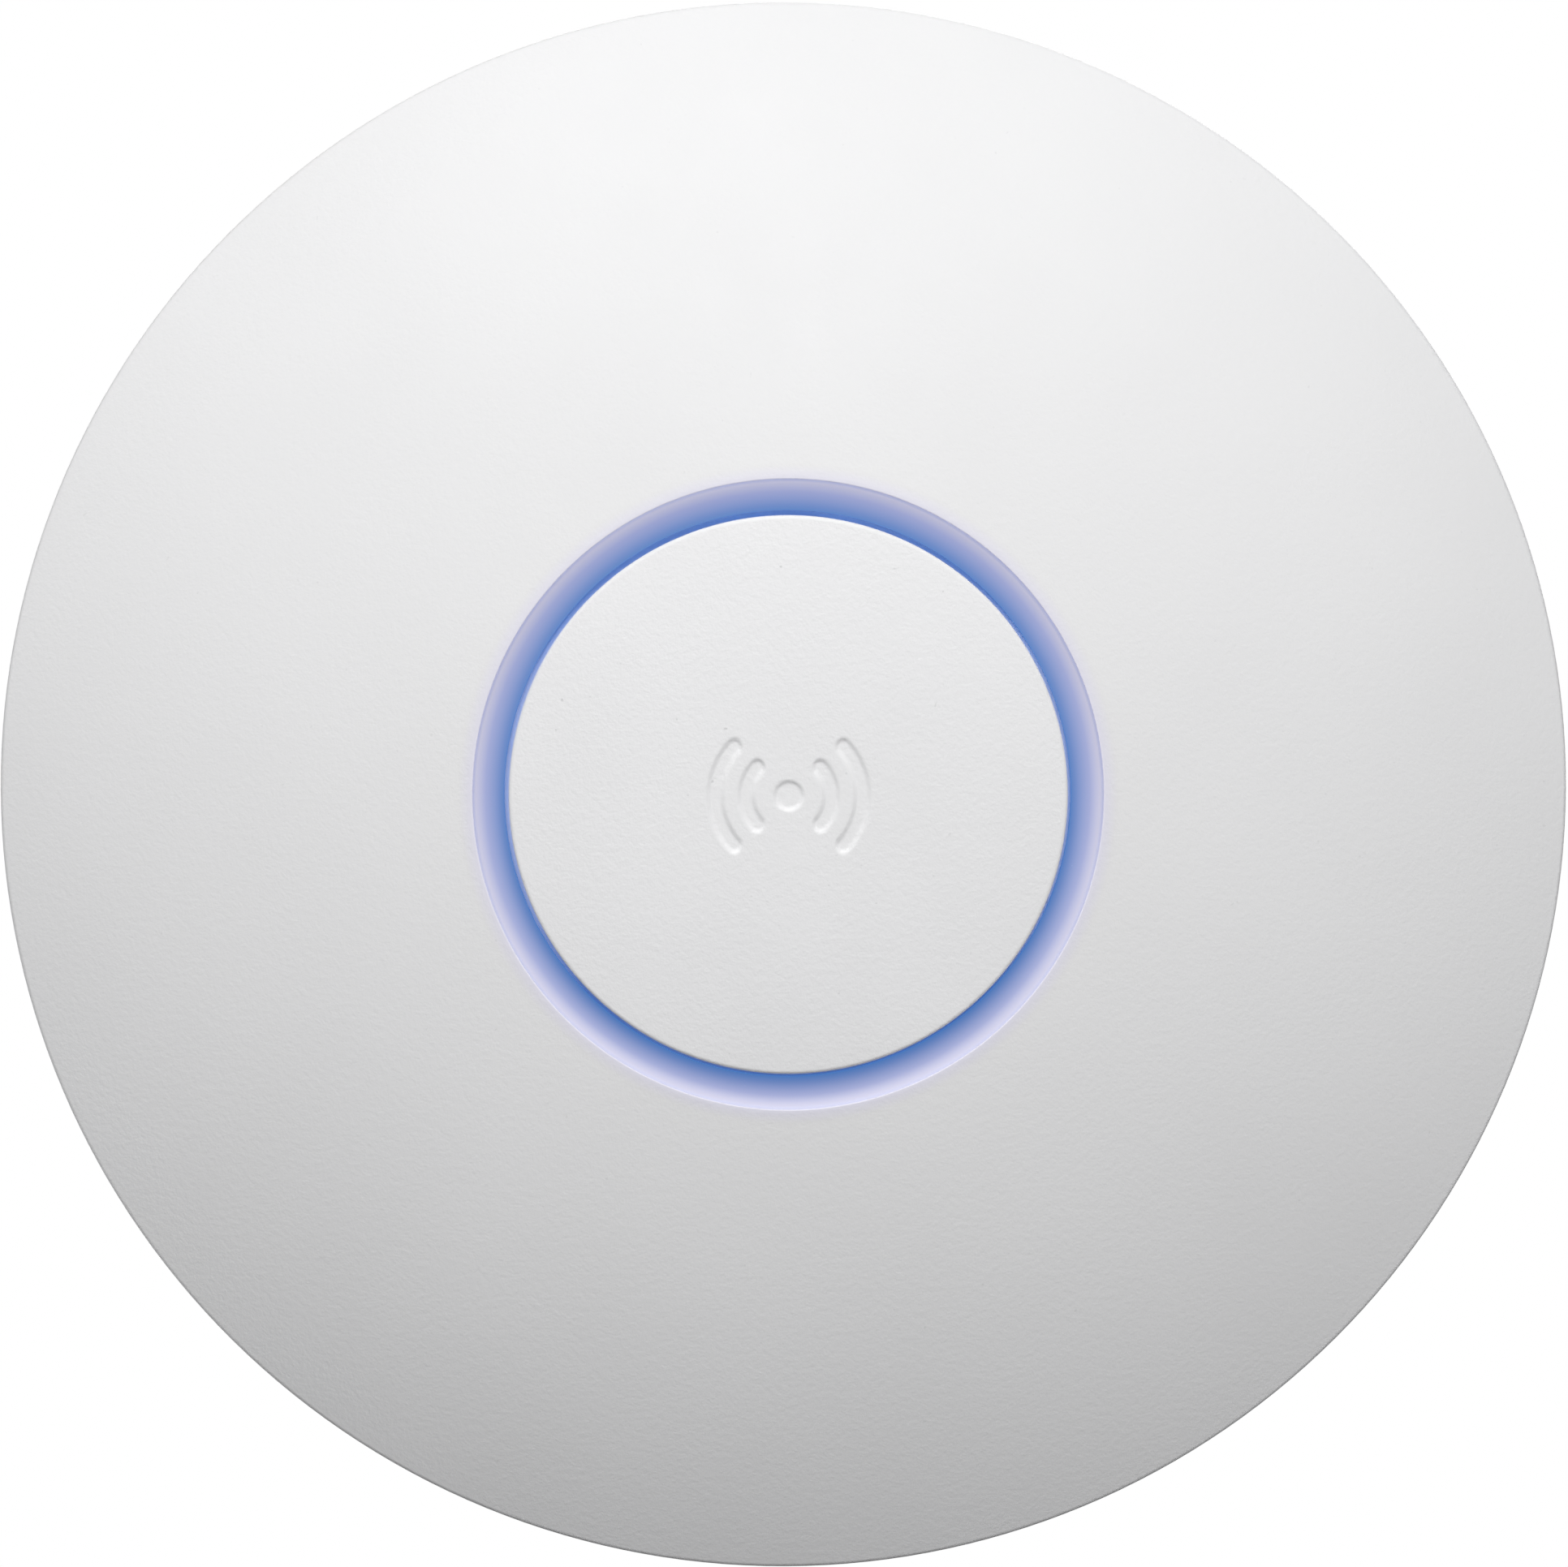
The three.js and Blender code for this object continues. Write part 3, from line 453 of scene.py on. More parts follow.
def moulded(name, colour, roughness, grain_mm=0.45, relief_mm=0.02, wear_and_shade=None):
    """Matt or satin moulded plastic; given a wear value, wear lightens its edges and painted shade darkens
    its corners.
    """
    made, tree, shader = new_material(name)
    base = mixed(tree, patchy(tree, 22, 3), scaled(colour, 0.985), scaled(colour, 1.012))
    specks = between(tree, noise(tree, 0.9, 1.0, shift=7.7), 0.77, 0.84)
    base = mixed(tree, specks, base, scaled(colour, 0.8))
    if wear_and_shade:
        base = edge_wear_and_corner_shade(tree, base, wear_and_shade, 0.94)
    rough = patchy(tree, 6, 3, roughness - 0.04, roughness + 0.04, 1.9)
    relief = bumped(tree, grain(tree, grain_mm), relief_mm)
    feed(tree, shader, Base_Color=base, Roughness=rough, Normal=relief)
    return made


def sheet_metal(name, colour, roughness, stretch=(0.05, 1, 1), relief_mm=0.004):
    """Rolled or brushed metal with fine streaks and faint stains."""
    made, tree, shader = new_material(name)
    streaks = noise(tree, 0.16, 4, 0.6, stretch=stretch)
    stains = between(tree, noise(tree, 7, 4, 0.6, shift=2.3), 0.35, 0.7)
    base = mixed(tree, streaks, scaled(colour, 0.86), scaled(colour, 1.08))
    base = mixed(tree, maths(tree, "MULTIPLY", stains, 0.25), base, scaled(colour, 0.6))
    # Worn edges are lightened and corners darkened as painted shade.
    base = edge_wear_and_corner_shade(tree, base, 1.2, 0.8)
    rough = maths(tree, "ADD", between(tree, streaks, 0.2, 0.8, roughness - 0.06, roughness + 0.08),
                  maths(tree, "MULTIPLY", stains, 0.12))
    feed(tree, shader, Base_Color=base, Metallic=1.0, Roughness=rough,
         Normal=bumped(tree, streaks, relief_mm))
    return made


def soft_rubber(name, colour):
    made, tree, shader = new_material(name)
    dust = between(tree, noise(tree, 3, 5, 0.7), 0.45, 0.75)
    base = mixed(tree, maths(tree, "MULTIPLY", dust, 0.3), colour, scaled(colour, 1.6))
    feed(tree, shader, Base_Color=base, Roughness=between(tree, dust, 0, 1, 0.7, 0.88),
         Normal=bumped(tree, noise(tree, 0.25, 3), 0.012))
    return made


def radius_mm(tree):
    """Distance from the dome's axis in millimetres."""
    parts = node(tree, "SeparateXYZ", {0: place(tree)})
    flat = node(tree, "CombineXYZ", {0: parts.outputs[0], 1: parts.outputs[1]})
    length = node(tree, "VectorMath", {0: flat.outputs[0]}, operation="LENGTH").outputs["Value"]
    return maths(tree, "DIVIDE", length, MM)


DOME_WHITE = (0.81, 0.81, 0.813)
CAP_WHITE = (0.832, 0.832, 0.8372)
# Colours across the light groove, by distance from its lip in millimetres: its wall is on the minus side. The
# base colours are painted shade, darkened with a blue cast towards the cap, and the emission is painted light
# from the ring on the cove's wall, with a faint painted halo just past the lip.
COVE_PAINTED_SHADE = ((-3.3, (0.05, 0.06, 0.09)), (-1.5, (0.11, 0.12, 0.15)), (-0.35, (0.25, 0.25, 0.30)),
             (0.25, (0.77, 0.76, 0.78)), (2.1, DOME_WHITE))
COVE_PAINTED_LIGHT = ((-3.9, (0.05, 0.16, 0.43)), (-1.5, (0.285, 0.31, 0.51)), (-0.35, (0.44, 0.42, 0.475)),
             (0.05, (0.21, 0.20, 0.26)), (0.25, (0, 0, 0.06)), (1.7, (0, 0, 0)))
RAMP_FROM, RAMP_TO = -5, 5
# The painted light on the cove's wall sets in between these two heights.
PAINTED_LIGHT_TOP, PAINTED_LIGHT_FOOT = -27.2, -28.5   # the glow sets in between these heights


def ramp(tree, past_lip, stops):
    """A colour ramp over the distance from the lip, with stops given as (distance, colour)."""
    made = node(tree, "ValToRGB", {0: between(tree, past_lip, RAMP_FROM, RAMP_TO)})
    points = made.color_ramp.elements
    points.remove(points[1])
    for k, (distance, colour) in enumerate(stops):
        at = (distance - RAMP_FROM) / (RAMP_TO - RAMP_FROM)
        point = points[0] if k == 0 else points.new(at)
        point.position = at
        point.color = (*colour, 1)
    return made.outputs[0]


def cover_plastic():
    """The dome's white plastic, with painted light from the ring: blue emission on the cove's wall and a
    faint painted halo through its lip, over painted shade in the cove's colour.
    """
    made, tree, shader = new_material("cover_plastic")
    past_lip = maths(tree, "SUBTRACT", radius_mm(tree), GROOVE_R)
    cloud = patchy(tree, 30, 3, 0.988, 1.008)
    cloud = node(tree, "CombineXYZ", {0: cloud, 1: cloud, 2: cloud}).outputs[0]
    # The cove's base colour is painted shade: darker and bluer towards the cap.
    base = mixed(tree, 1.0, ramp(tree, past_lip, COVE_PAINTED_SHADE), cloud, "MULTIPLY")
    specks = between(tree, noise(tree, 0.9, 1.0, shift=7.7), 0.78, 0.85)
    base = mixed(tree, maths(tree, "MULTIPLY", specks, 0.25), base, (0.5, 0.5, 0.5))
    height = node(tree, "SeparateXYZ", {0: place(tree)}).outputs[2]
    in_cove = between(tree, height, PAINTED_LIGHT_TOP * MM, PAINTED_LIGHT_FOOT * MM)
    # Painted light: the ring's blue light on the cove's wall and a faint halo past the lip, given as emission
    # by distance from the lip.
    glow = mixed(tree, in_cove, (0, 0, 0), ramp(tree, past_lip, COVE_PAINTED_LIGHT))
    relief = maths(tree, "MULTIPLY", grain(tree, 0.8), between(tree, past_lip, -0.1, 0.5))
    feed(tree, shader, Base_Color=base, Roughness=patchy(tree, 8, 3, 0.56, 0.63, 1.9),
         Normal=bumped(tree, relief, 0.045), Specular_IOR_Level=0.3,
         Emission_Color=glow, Emission_Strength=1.0)
    return made


def guide_plastic():
    """Clear blue-lit plastic with faint clouds in its light."""
    made, tree, shader = new_material("guide_plastic")
    cloud = patchy(tree, 5, 2)
    base = mixed(tree, cloud, (0.10, 0.26, 0.62), (0.16, 0.34, 0.72))
    glow = mixed(tree, cloud, (0.02, 0.12, 0.50), (0.03, 0.16, 0.58))
    feed(tree, shader, Base_Color=base, Roughness=patchy(tree, 0.6, 2, 0.2, 0.32),
         Emission_Color=glow, Emission_Strength=1.0, Normal=bumped(tree, noise(tree, 0.4, 2), 0.004))
    return made


def board_mask():
    """Green solder mask over copper: pours, fine traces and rows of small holes."""
    made, tree, shader = new_material("board_mask")
    where = place(tree)
    traces = node(tree, "TexBrick", {"Vector": where, "Scale": 1.0, "Mortar Size": 0.12 * MM,
                                     "Mortar Smooth": 0.1, "Brick Width": 6.1 * MM, "Row Height": 0.9 * MM},
                  offset=0.37).outputs["Fac"]
    pours = between(tree, noise(tree, 16, 2), 0.49, 0.51)
    traces = maths(tree, "MULTIPLY", traces, pours)
    cells = node(tree, "TexVoronoi", {"Vector": where, "Scale": 1 / (3.1 * MM)}, feature="F1")
    holes = between(tree, cells.outputs["Distance"], 0.10, 0.08)
    green = mixed(tree, patchy(tree, 9, 3), (0.010, 0.085, 0.040), (0.016, 0.115, 0.055))
    base = mixed(tree, traces, green, (0.035, 0.19, 0.085))
    base = mixed(tree, holes, base, (0.50, 0.46, 0.36))
    feed(tree, shader, Base_Color=base, Roughness=patchy(tree, 2, 3, 0.28, 0.4),
         Metallic=maths(tree, "MULTIPLY", holes, 0.8),
         Normal=bumped(tree, maths(tree, "ADD", traces, holes), 0.03))
    return made


def sleeve_plastic():
    """A capacitor's shrink sleeve with its pale polarity stripe, and the bare can at its top."""
    made, tree, shader = new_material("sleeve_plastic")
    normal = node(tree, "SeparateXYZ", {0: node(tree, "NewGeometry").outputs["Normal"]})
    stripe = between(tree, normal.outputs[0], 0.90, 0.93)
    top = between(tree, normal.outputs[2], 0.7, 0.8)
    dark = mixed(tree, noise(tree, 2, 3), (0.012, 0.022, 0.06), (0.02, 0.035, 0.09))
    base = mixed(tree, stripe, dark, (0.45, 0.47, 0.5))
    base = mixed(tree, top, base, (0.7, 0.7, 0.72))
    feed(tree, shader, Base_Color=base, Metallic=top, Roughness=patchy(tree, 1, 3, 0.25, 0.4),
         Normal=bumped(tree, noise(tree, 0.5, 3), 0.01))
    return made


LOOKS = {
    "cover_white": cover_plastic(),
    "cap_white": moulded("cap_plastic", CAP_WHITE, 0.56, 0.75, 0.058),
    "shell_white": moulded("shell_plastic", (0.74, 0.74, 0.745), 0.52),
    "bracket_white": moulded("bracket_plastic", (0.70, 0.70, 0.69), 0.58, 0.55, 0.025),
    "light_blue": guide_plastic(),
    "holder_white": moulded("holder_plastic", (0.82, 0.82, 0.82), 0.6, 0.4, 0.015),
    "gasket_grey": soft_rubber("gasket_rubber", (0.30, 0.31, 0.33)),
    "board_green": board_mask(),
    "aluminium": sheet_metal("brushed_aluminium", (0.72, 0.73, 0.74), 0.38),
    "tinned": sheet_metal("tinned_steel", (0.74, 0.74, 0.75), 0.24, (1, 0.08, 1)),
    "pad_blue": soft_rubber("silicone_pad", (0.30, 0.44, 0.55)),
    "jack_black": moulded("black_plastic", (0.020, 0.020, 0.022), 0.42, 0.25, 0.012, 1.5),
    "gold": sheet_metal("gold_plate", (0.83, 0.60, 0.22), 0.22, (1, 0.2, 1), 0.002),
    "lead_black": soft_rubber("lead_jacket", (0.018, 0.018, 0.02)),
    "sleeve_blue": sleeve_plastic(),
    "led_yellow": moulded("lamp_resin", (0.80, 0.74, 0.40), 0.25, 0.3, 0.004),
    "screw_steel": sheet_metal("zinc_plate", (0.66, 0.67, 0.70), 0.3, (1, 1, 0.3)),
}

# ---- Placing and finishing pieces ----
SLOTS = {part["node"]: part["material_slot"] for part in frame["record"]["subparts"]}
BODY_OF = {n: body for body, names in frame["record"]["behaviour"]["bodies"].items() for n in names}


def finished(piece, node_name, sharp=SHARP_ANGLE, look=None):
    """Shades the piece, gives it the look of its CAD node's slot, hangs it on the node's body and hides the
    node.
    """
    smoothed(piece, sharp)
    slot = SLOTS[node_name]
    piece.data.materials.clear()
    piece.data.materials.append(LOOKS[look or slot])
    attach(piece, BODY_OF[node_name])
    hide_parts(node_name)


def soft_corners(points, r, steps=5, bend=20):
    """Rounds the corners of an outline that turn by more than bend degrees."""
    result = []
    for i, p in enumerate(points):
        here, before, after = Vector(p), Vector(points[i - 1]), Vector(points[(i + 1) % len(points)])
        into, out = (here - before).normalized(), (after - here).normalized()
        if math.degrees(into.angle(out)) < bend:
            result.append(p)
            continue
        a, b = here - into * r, here + out * r
        result += [tuple(a)] + bezier(a, here, b, steps)
    return result


def ring_part(name, r0, r1, start, end, z0, z1, soft=0.25, corner=0.4):
    """A piece of a ring between two angles, with rounded corners and edges."""
    outline = soft_corners(sector(r0, r1, start, end), corner, bend=40)
    return block(name, outline, z0, z1, soft, soft, 3)


def post(name, r, z0, z1, x=0.0, y=0.0, soft_low=0.0, soft_high=0.0, steps=40):
    return block(name, circle(r, x, y, steps), z0, z1, soft_low, soft_high)


def spots_round(r, angles):
    return [polar(r, angle) for angle in angles]


def holes(r, z0, z1, spots, steps=24):
    """Tools that bore round holes from z0 to z1."""
    return [post("hole", r, z0, z1, x, y, steps=steps) for x, y in spots]


def sunk_holes(r, floor, surface, spots, soft, steps=24):
    """Tools that sink round holes with a rounded rim into a surface."""
    return [pocket(circle(r, x, y, steps), floor, surface, soft) for x, y in spots]


def out_of_bay(obj):
    """Tips a piece drawn face up, so that it faces out of the port bay: (x, y, z) goes to (x, -z, y)."""
    obj.data.transform(Matrix(((1, 0, 0, 0), (0, 0, -1, 0), (0, 1, 0, 0), (0, 0, 0, 1))))
    return obj


def facing_out(make, outline, y0, y1, *softness):
    """A block or pocket whose outline is in (x, z) and which runs along Y from y1 out to y0."""
    return out_of_bay(make(outline, -y1, -y0, *softness))


def named_block(name):
    return lambda outline, z0, z1, *softness: block(name, outline, z0, z1, *softness)


def socket_block(name, node, corner, soft_back, soft_front):
    """A rounded block as large as a CAD node, that faces out of the port bay."""
    a, b = low(node), high(node)
    return facing_out(named_block(name), rounded(a.x, b.x, a.z, b.z, corner), a.y, b.y, soft_back, soft_front)


def moved(obj, dx, dy):
    obj.data.transform(Matrix.Translation(Vector((dx, dy, 0)) * MM))
    return obj


# ---- Front cover ----
COVER_SPOTS = spots_round(COVER_SCREW_R, COVER_SCREWS)


def cover_outline():
    """The cover's section: the cove, its lip, the dome, the rim and the inside."""
    lip_z = dome_z(GROOVE_R)
    cove = []
    for turn in span(0, 90, 18):
        angle = math.radians(turn)
        cove.append((COVE_R + (GROOVE_R - COVE_R) * math.sin(angle),
                     lip_z + LIP_ROUND + (COVE_Z - lip_z - LIP_ROUND) * math.cos(angle)))
    lip_end = (GROOVE_R + LIP_ROUND, dome_z(GROOVE_R + LIP_ROUND))
    lip = bezier(cove[-1], (GROOVE_R, lip_z), lip_end, 6)
    dome = [(r, dome_z(r)) for r in span(lip_end[0], BODY_R - EDGE_ROUND, 64)[1:]]
    edge = bezier(dome[-1], (BODY_R, dome_z(BODY_R)), (BODY_R, dome_z(BODY_R) + EDGE_ROUND), 10)
    soft = 0.3
    seam = bezier((BODY_R, SEAM_LOW - soft), (BODY_R, SEAM_LOW), (BODY_R - soft, SEAM_LOW), 3)
    wall_r = BODY_R - COVER_WALL - 0.15
    inside = [(r, dome_inside_z(r)) for r in span(wall_r, GROOVE_R + 2.4, 30)]
    return [*cove, *lip, *dome, *edge, (BODY_R, SEAM_LOW - soft), *seam, (wall_r, SEAM_LOW), *inside,
            (GROOVE_R - 0.3, COVE_Z + COVE_WALL - 1.4), (COVE_R, COVE_Z + COVE_WALL)]


def cover_supports():
    """The screw bosses and the webs round them, cut off inside the dome's wall."""
    root = dome_z(COVER_SCREW_R) - 2
    supports = [post("boss", 3.4, root, COVER_BOSS_TOP, x, y, 0, 0.3) for x, y in COVER_SPOTS]
    for angle in COVER_SCREWS:
        for side in (-90, 90, 180):
            web = turned_by(rectangle(2.0, 6.2, -0.5, 0.5), angle + side)
            supports.append(block("web", shifted(web, *polar(COVER_SCREW_R, angle)), root, -15.5, 0, 0.2, 2))
    middle = [(r, (dome_z(r) + dome_inside_z(r)) / 2) for r in span(0, BODY_R, 40)]
    for support in supports:
        cut(support, lathe("below", [*middle, (BODY_R, BELOW), (0, BELOW)], 120))
    return supports


def front_cover():
    cover = add(lathe("cover_dome", cover_outline()), *cover_supports())
    cut(cover, *sunk_holes(SCREW_HOLE, COVER_PILOT_FOOT, COVER_BOSS_TOP, COVER_SPOTS, 0.3))
    finished(cover, "front_cover")


# ---- Centre cap ----
MARK_DOT, MARK_ARCS, MARK_HALF, MARK_SPREAD, MARK_DEPTH, MARK_SOFT = 1.7, (5.2, 9.0), 0.85, 42, 0.3, 0.55
MARK_REACH = 11.0                    # the cap's mesh is fine out to this radius
CAP_THICK, CAP_EDGE = 1.3, 0.5
CAP_SKIRT_IN, CAP_SKIRT_OUT, CAP_SKIRT = 27.2, 29.0, 3.6


def mark_depth(r, angle):
    """How deep the signal mark is pressed in: a dot between two pairs of round-ended arcs."""
    side = abs((angle + 90) % 180 - 90)
    beyond = math.radians(max(0.0, side - MARK_SPREAD))
    gaps = [r - MARK_DOT]
    for middle in MARK_ARCS:
        along = middle * beyond
        gaps.append(math.hypot(r - middle, along) - MARK_HALF)
    inside = min(1.0, max(0.0, 0.5 - min(gaps) / MARK_SOFT))
    return MARK_DEPTH * inside * inside * (3 - 2 * inside)


def cap_outline():
    """The cap's section: its face, its edge, and the skirt behind it that stands in the light guide."""
    radii = span(0, MARK_REACH, 52) + span(MARK_REACH, DISC_R - CAP_EDGE, 20)[1:]
    face = [(r, dome_z(r)) for r in radii]
    side = bezier(face[-1], (DISC_R, dome_z(DISC_R)), (DISC_R, dome_z(DISC_R) + CAP_EDGE), 6)
    back = dome_z(DISC_R) + CAP_THICK
    foot, soft = back + CAP_SKIRT, 0.3
    return [*face, *side, (DISC_R, back - 0.15), (DISC_R - 0.15, back), (CAP_SKIRT_OUT, back),
            (CAP_SKIRT_OUT, foot - soft), (CAP_SKIRT_OUT - soft, foot), (CAP_SKIRT_IN + soft, foot),
            (CAP_SKIRT_IN, foot - soft), (CAP_SKIRT_IN, back), (0, back)]


def centre_cap():
    cap = lathe("cap_disc", cap_outline(), 288)
    for v in cap.data.vertices:
        r = v.co.xy.length / MM
        on_face = v.co.z / MM < -HEIGHT + 0.5
        if r < MARK_REACH and on_face:
            v.co.z += mark_depth(r, math.degrees(math.atan2(v.co.y, v.co.x))) * MM
    notch = rounded(CAP_SKIRT_IN - 1.2, CAP_SKIRT_OUT + 1, -1.2, 1.2, 0.3)
    back = dome_z(DISC_R) + CAP_THICK
    cut(cap, *[block("notch", turned_by(notch, a), back + 0.6, back + 5) for a in (30, 150, 270)])
    finished(cap, "centre_cap", look="cap_white")


# ---- Light guide and its holder ----
GUIDE_IN, GUIDE_OUT, GUIDE_LEG_R, GUIDE_LEG = 29.3, 34.0, 31.6, 1.8
LED_TURNS = tuple(range(0, 360, 60))
LEG_SPOTS = spots_round(GUIDE_LEG_R, LED_TURNS)


def light_guide():
    front, back, top = low("light_guide").z, -27.6, high("light_guide").z
    outline = [(GUIDE_IN, front), (GUIDE_OUT - 0.4, front), (GUIDE_OUT, front + 0.4), (GUIDE_OUT, back - 0.6),
               (GUIDE_OUT - 0.6, back), (GUIDE_IN + 0.3, back), (GUIDE_IN, back - 0.3)]
    legs = [post("leg", GUIDE_LEG, back - 0.3, top, x, y, 0, 0.25, 28) for x, y in LEG_SPOTS]
    finished(add(lathe("guide_ring", outline), *legs), "light_guide")


# ---- Back shell ----
BUTTON_HOLE = 2.2
POINTER_TURN = 52


def bay_outline(extra=0.0, corner=2.0):
    half, r, top = BAY_HALF + extra, BAY_R + extra, BAY_MOUTH_Y + extra
    reach = math.degrees(math.asin(half / r))
    points = [(-half, top), *arc(0, 0, r, 270 - reach, 270 + reach, 28), (half, top)]
    return soft_corners(points, corner, bend=30)


def shell_outline():
    """The shell's section: the bracket's recess, the rounded back, the flange, the tongue and the inside."""
    flange_z, soft, wall_top = SEAM_HIGH, 0.5, BACK_Z - SHELL_WALL
    tongue_r = BODY_R - COVER_WALL - TONGUE_INSET
    tongue_in, tongue_z = tongue_r - TONGUE_THICK, flange_z - TONGUE_DEEP
    recess_in, recess_out, wall_in = (RECESS_R - soft, RECESS_Z), (RECESS_R + soft, BACK_Z), RECESS_R + 1.8
    top = bezier((BACK_FLAT_R, BACK_Z), BACK_BEND, (FLANGE_R, flange_z + 0.6), 26)
    inner = bezier((tongue_in, flange_z), BACK_BEND_INSIDE, (BACK_FLAT_R - 0.6, wall_top), 12)
    return [(0, RECESS_Z), (30, RECESS_Z), recess_in,
            *bezier(recess_in, (RECESS_R, RECESS_Z), (RECESS_R, RECESS_Z + soft), 4),
            (RECESS_R, BACK_Z - soft), *bezier((RECESS_R, BACK_Z - soft), (RECESS_R, BACK_Z), recess_out, 4),
            (66, BACK_Z), (73, BACK_Z), (BACK_FLAT_R, BACK_Z), *top,
            (FLANGE_R, flange_z + 0.15), (FLANGE_R - 0.15, flange_z), (tongue_r, flange_z),
            (tongue_r, tongue_z + 0.2), (tongue_r - 0.2, tongue_z), (tongue_in, tongue_z),
            (tongue_in, flange_z), *inner, (wall_in, wall_top), (wall_in, FLOOR_UNDER), (30, FLOOR_UNDER),
            (0, FLOOR_UNDER)]


def shell_posts():
    """The bosses for the board's screws and for the cover's."""
    foot = high("heat_spreader").z - 3.0
    posts = [post("boss", 3.2, foot, FLOOR_UNDER + 0.4, x, y, 0.2) for x, y in BOARD_SCREWS]
    return posts + [post("boss", 4.8, -9, BACK_Z - 0.9, x, y, 0.2) for x, y in COVER_SPOTS]


def shell_walls():
    """The walls round the port bay and the cable channel; the channel's end inside the shell's skin."""
    bay = block("bay", bay_outline(BAY_WALL), BAY_FLOOR - BAY_WALL, BACK_Z - 0.5, 0.3)
    cut(bay, block("room", circle(RECESS_R, steps=ROUND_STEPS), RECESS_Z, 2))
    side = CHANNEL_HALF + BAY_WALL
    shape = rectangle(-side, side, CHANNEL_END, -BAY_R - 0.8)
    channel = block("channel", shape, CHANNEL_FLOOR - BAY_WALL, BACK_Z, 0.2)
    start = (BACK_FLAT_R, BACK_Z - SHELL_WALL / 2)
    bend = tuple((a + b) / 2 for a, b in zip(BACK_BEND, BACK_BEND_INSIDE))
    skin = [(0, start[1]), start, *bezier(start, bend, (FLANGE_R - 1, SEAM_HIGH), 20)]
    cut(channel, lathe("above", [*skin, (BEYOND, SEAM_HIGH), (BEYOND, 5), (0, 5)], 120))
    return [bay, channel]


def shell_catches():
    """The lugs that the bracket's tabs slide under, the finger's two stops and the hump between them."""
    outer, foot, top = RECESS_R + 1, RECESS_Z - 0.4, -2.4
    catches = []
    for angle in TAB_ANGLES:
        catches.append(ring_part("lug", LUG_R, outer, angle - TAB_HALF, angle + TAB_HALF,
                                 LUG_TOP - LUG_THICK, LUG_TOP))
    for start in (FINGER_TO + 0.5, NIB_FROM - UNLOCK_TURN - 3.0):
        catches.append(ring_part("stop", STOP_R, outer, start, start + 2.5, foot, top))
    catches.append(ring_part("hump", NIB_R + GAP, outer, NIB_FROM - 2.4, NIB_FROM - 0.6, foot, top))
    return catches


def shell_rooms():
    """Tools for the bay, the channel, the screw holes, the finger's slit and the two pointers."""
    lane = soft_corners(rectangle(-CHANNEL_HALF, CHANNEL_HALF, -BEYOND, -BAY_R + 1), 0.5)
    tools = [pocket(bay_outline(), BAY_FLOOR, BACK_Z, 0.6, 0.8)]
    tools.append(pocket(lane, CHANNEL_FLOOR, BACK_Z, 0.5, 0.6))
    tools += sunk_holes(SCREW_HEAD + 0.5, COVER_SCREW_SEAT, BACK_Z, COVER_SPOTS, 0.35, 40)
    tools += holes(SCREW_HOLE, COVER_SCREW_SEAT - 5, COVER_SCREW_SEAT + 1, COVER_SPOTS)
    tools += holes(SCREW_HOLE, high("heat_spreader").z - 4, BOARD_PILOT_END, BOARD_SCREWS)
    slit = turned_by(rounded(RECESS_R - 1, BEYOND, -1.6, 1.6, 0.4), (NIB_FROM + FINGER_TO) / 2)
    tools.append(pocket(slit, -3, BACK_Z, 0.3))
    pointer = [(64.6, 0), (61.2, 2.0), (61.2, -2.0)]
    for angle in (POINTER_TURN, POINTER_TURN - UNLOCK_TURN):
        tools.append(pocket(turned_by(pointer, angle), BACK_Z - 0.6, BACK_Z, 0.12))
    return tools


def bay_mouths():
    """Tools for the openings in the bay's wall in front of the sockets and the reset button."""
    wall_back = BAY_MOUTH_Y + BAY_WALL + 1
    mouths = []
    for name in ("network_jack_1", "network_jack_2", "usb_port"):
        a, b = low(name), high(name)
        hole = rounded(a.x - GAP, b.x + GAP, a.z - GAP, b.z + GAP, 0.5)
        mouths.append(facing_out(named_block("mouth"), hole, BAY_MOUTH_Y - 1, wall_back))
    hole = circle(BUTTON_HOLE, mid("reset_button").x, mid("reset_button").z, 32)
    return mouths + [facing_out(pocket, hole, BAY_MOUTH_Y, wall_back, 0.3)]


def back_shell():
    shell = lathe("shell_back", shell_outline())
    add(shell, *shell_posts(), *shell_walls(), *shell_catches())
    cut(shell, *shell_rooms())
    cut(shell, *bay_mouths())
    finished(shell, "back_shell")


# ---- Rim gasket ----
def rim_gasket():
    r0, r1 = BODY_R - COVER_WALL + 0.05, high("rim_gasket").x
    z0, z1 = SEAM_LOW, SEAM_HIGH
    middle = (z0 + z1) / 2
    outline = [(r0, z0), (r1 - 0.25, z0), *bezier((r1 - 0.25, z0), (r1, z0), (r1, middle), 4),
               *bezier((r1, middle), (r1, z1), (r1 - 0.25, z1), 4), (r0, z1)]
    finished(lathe("gasket_ring", outline), "rim_gasket")


# ---- Bracket and lock finger ----
SLOT_AT, SLOT_R, SLOT_RUN, SLOT_TURNS = 33.0, 1.9, 4.5, (0, 55, 125, 180)
SMALL_HOLES, RIB_TURNS = (25, 90, 155, 200, 340), (22, 72, 108, 158, 202, 338)
HUB_FOOT, PLATE_UNDER, RIM_Z = -3.6, -PLATE_THICK, TAB_TOP - TAB_THICK
LINE_R, LINE_HALF, LINE_DEEP = 46.0, 0.6, 0.4


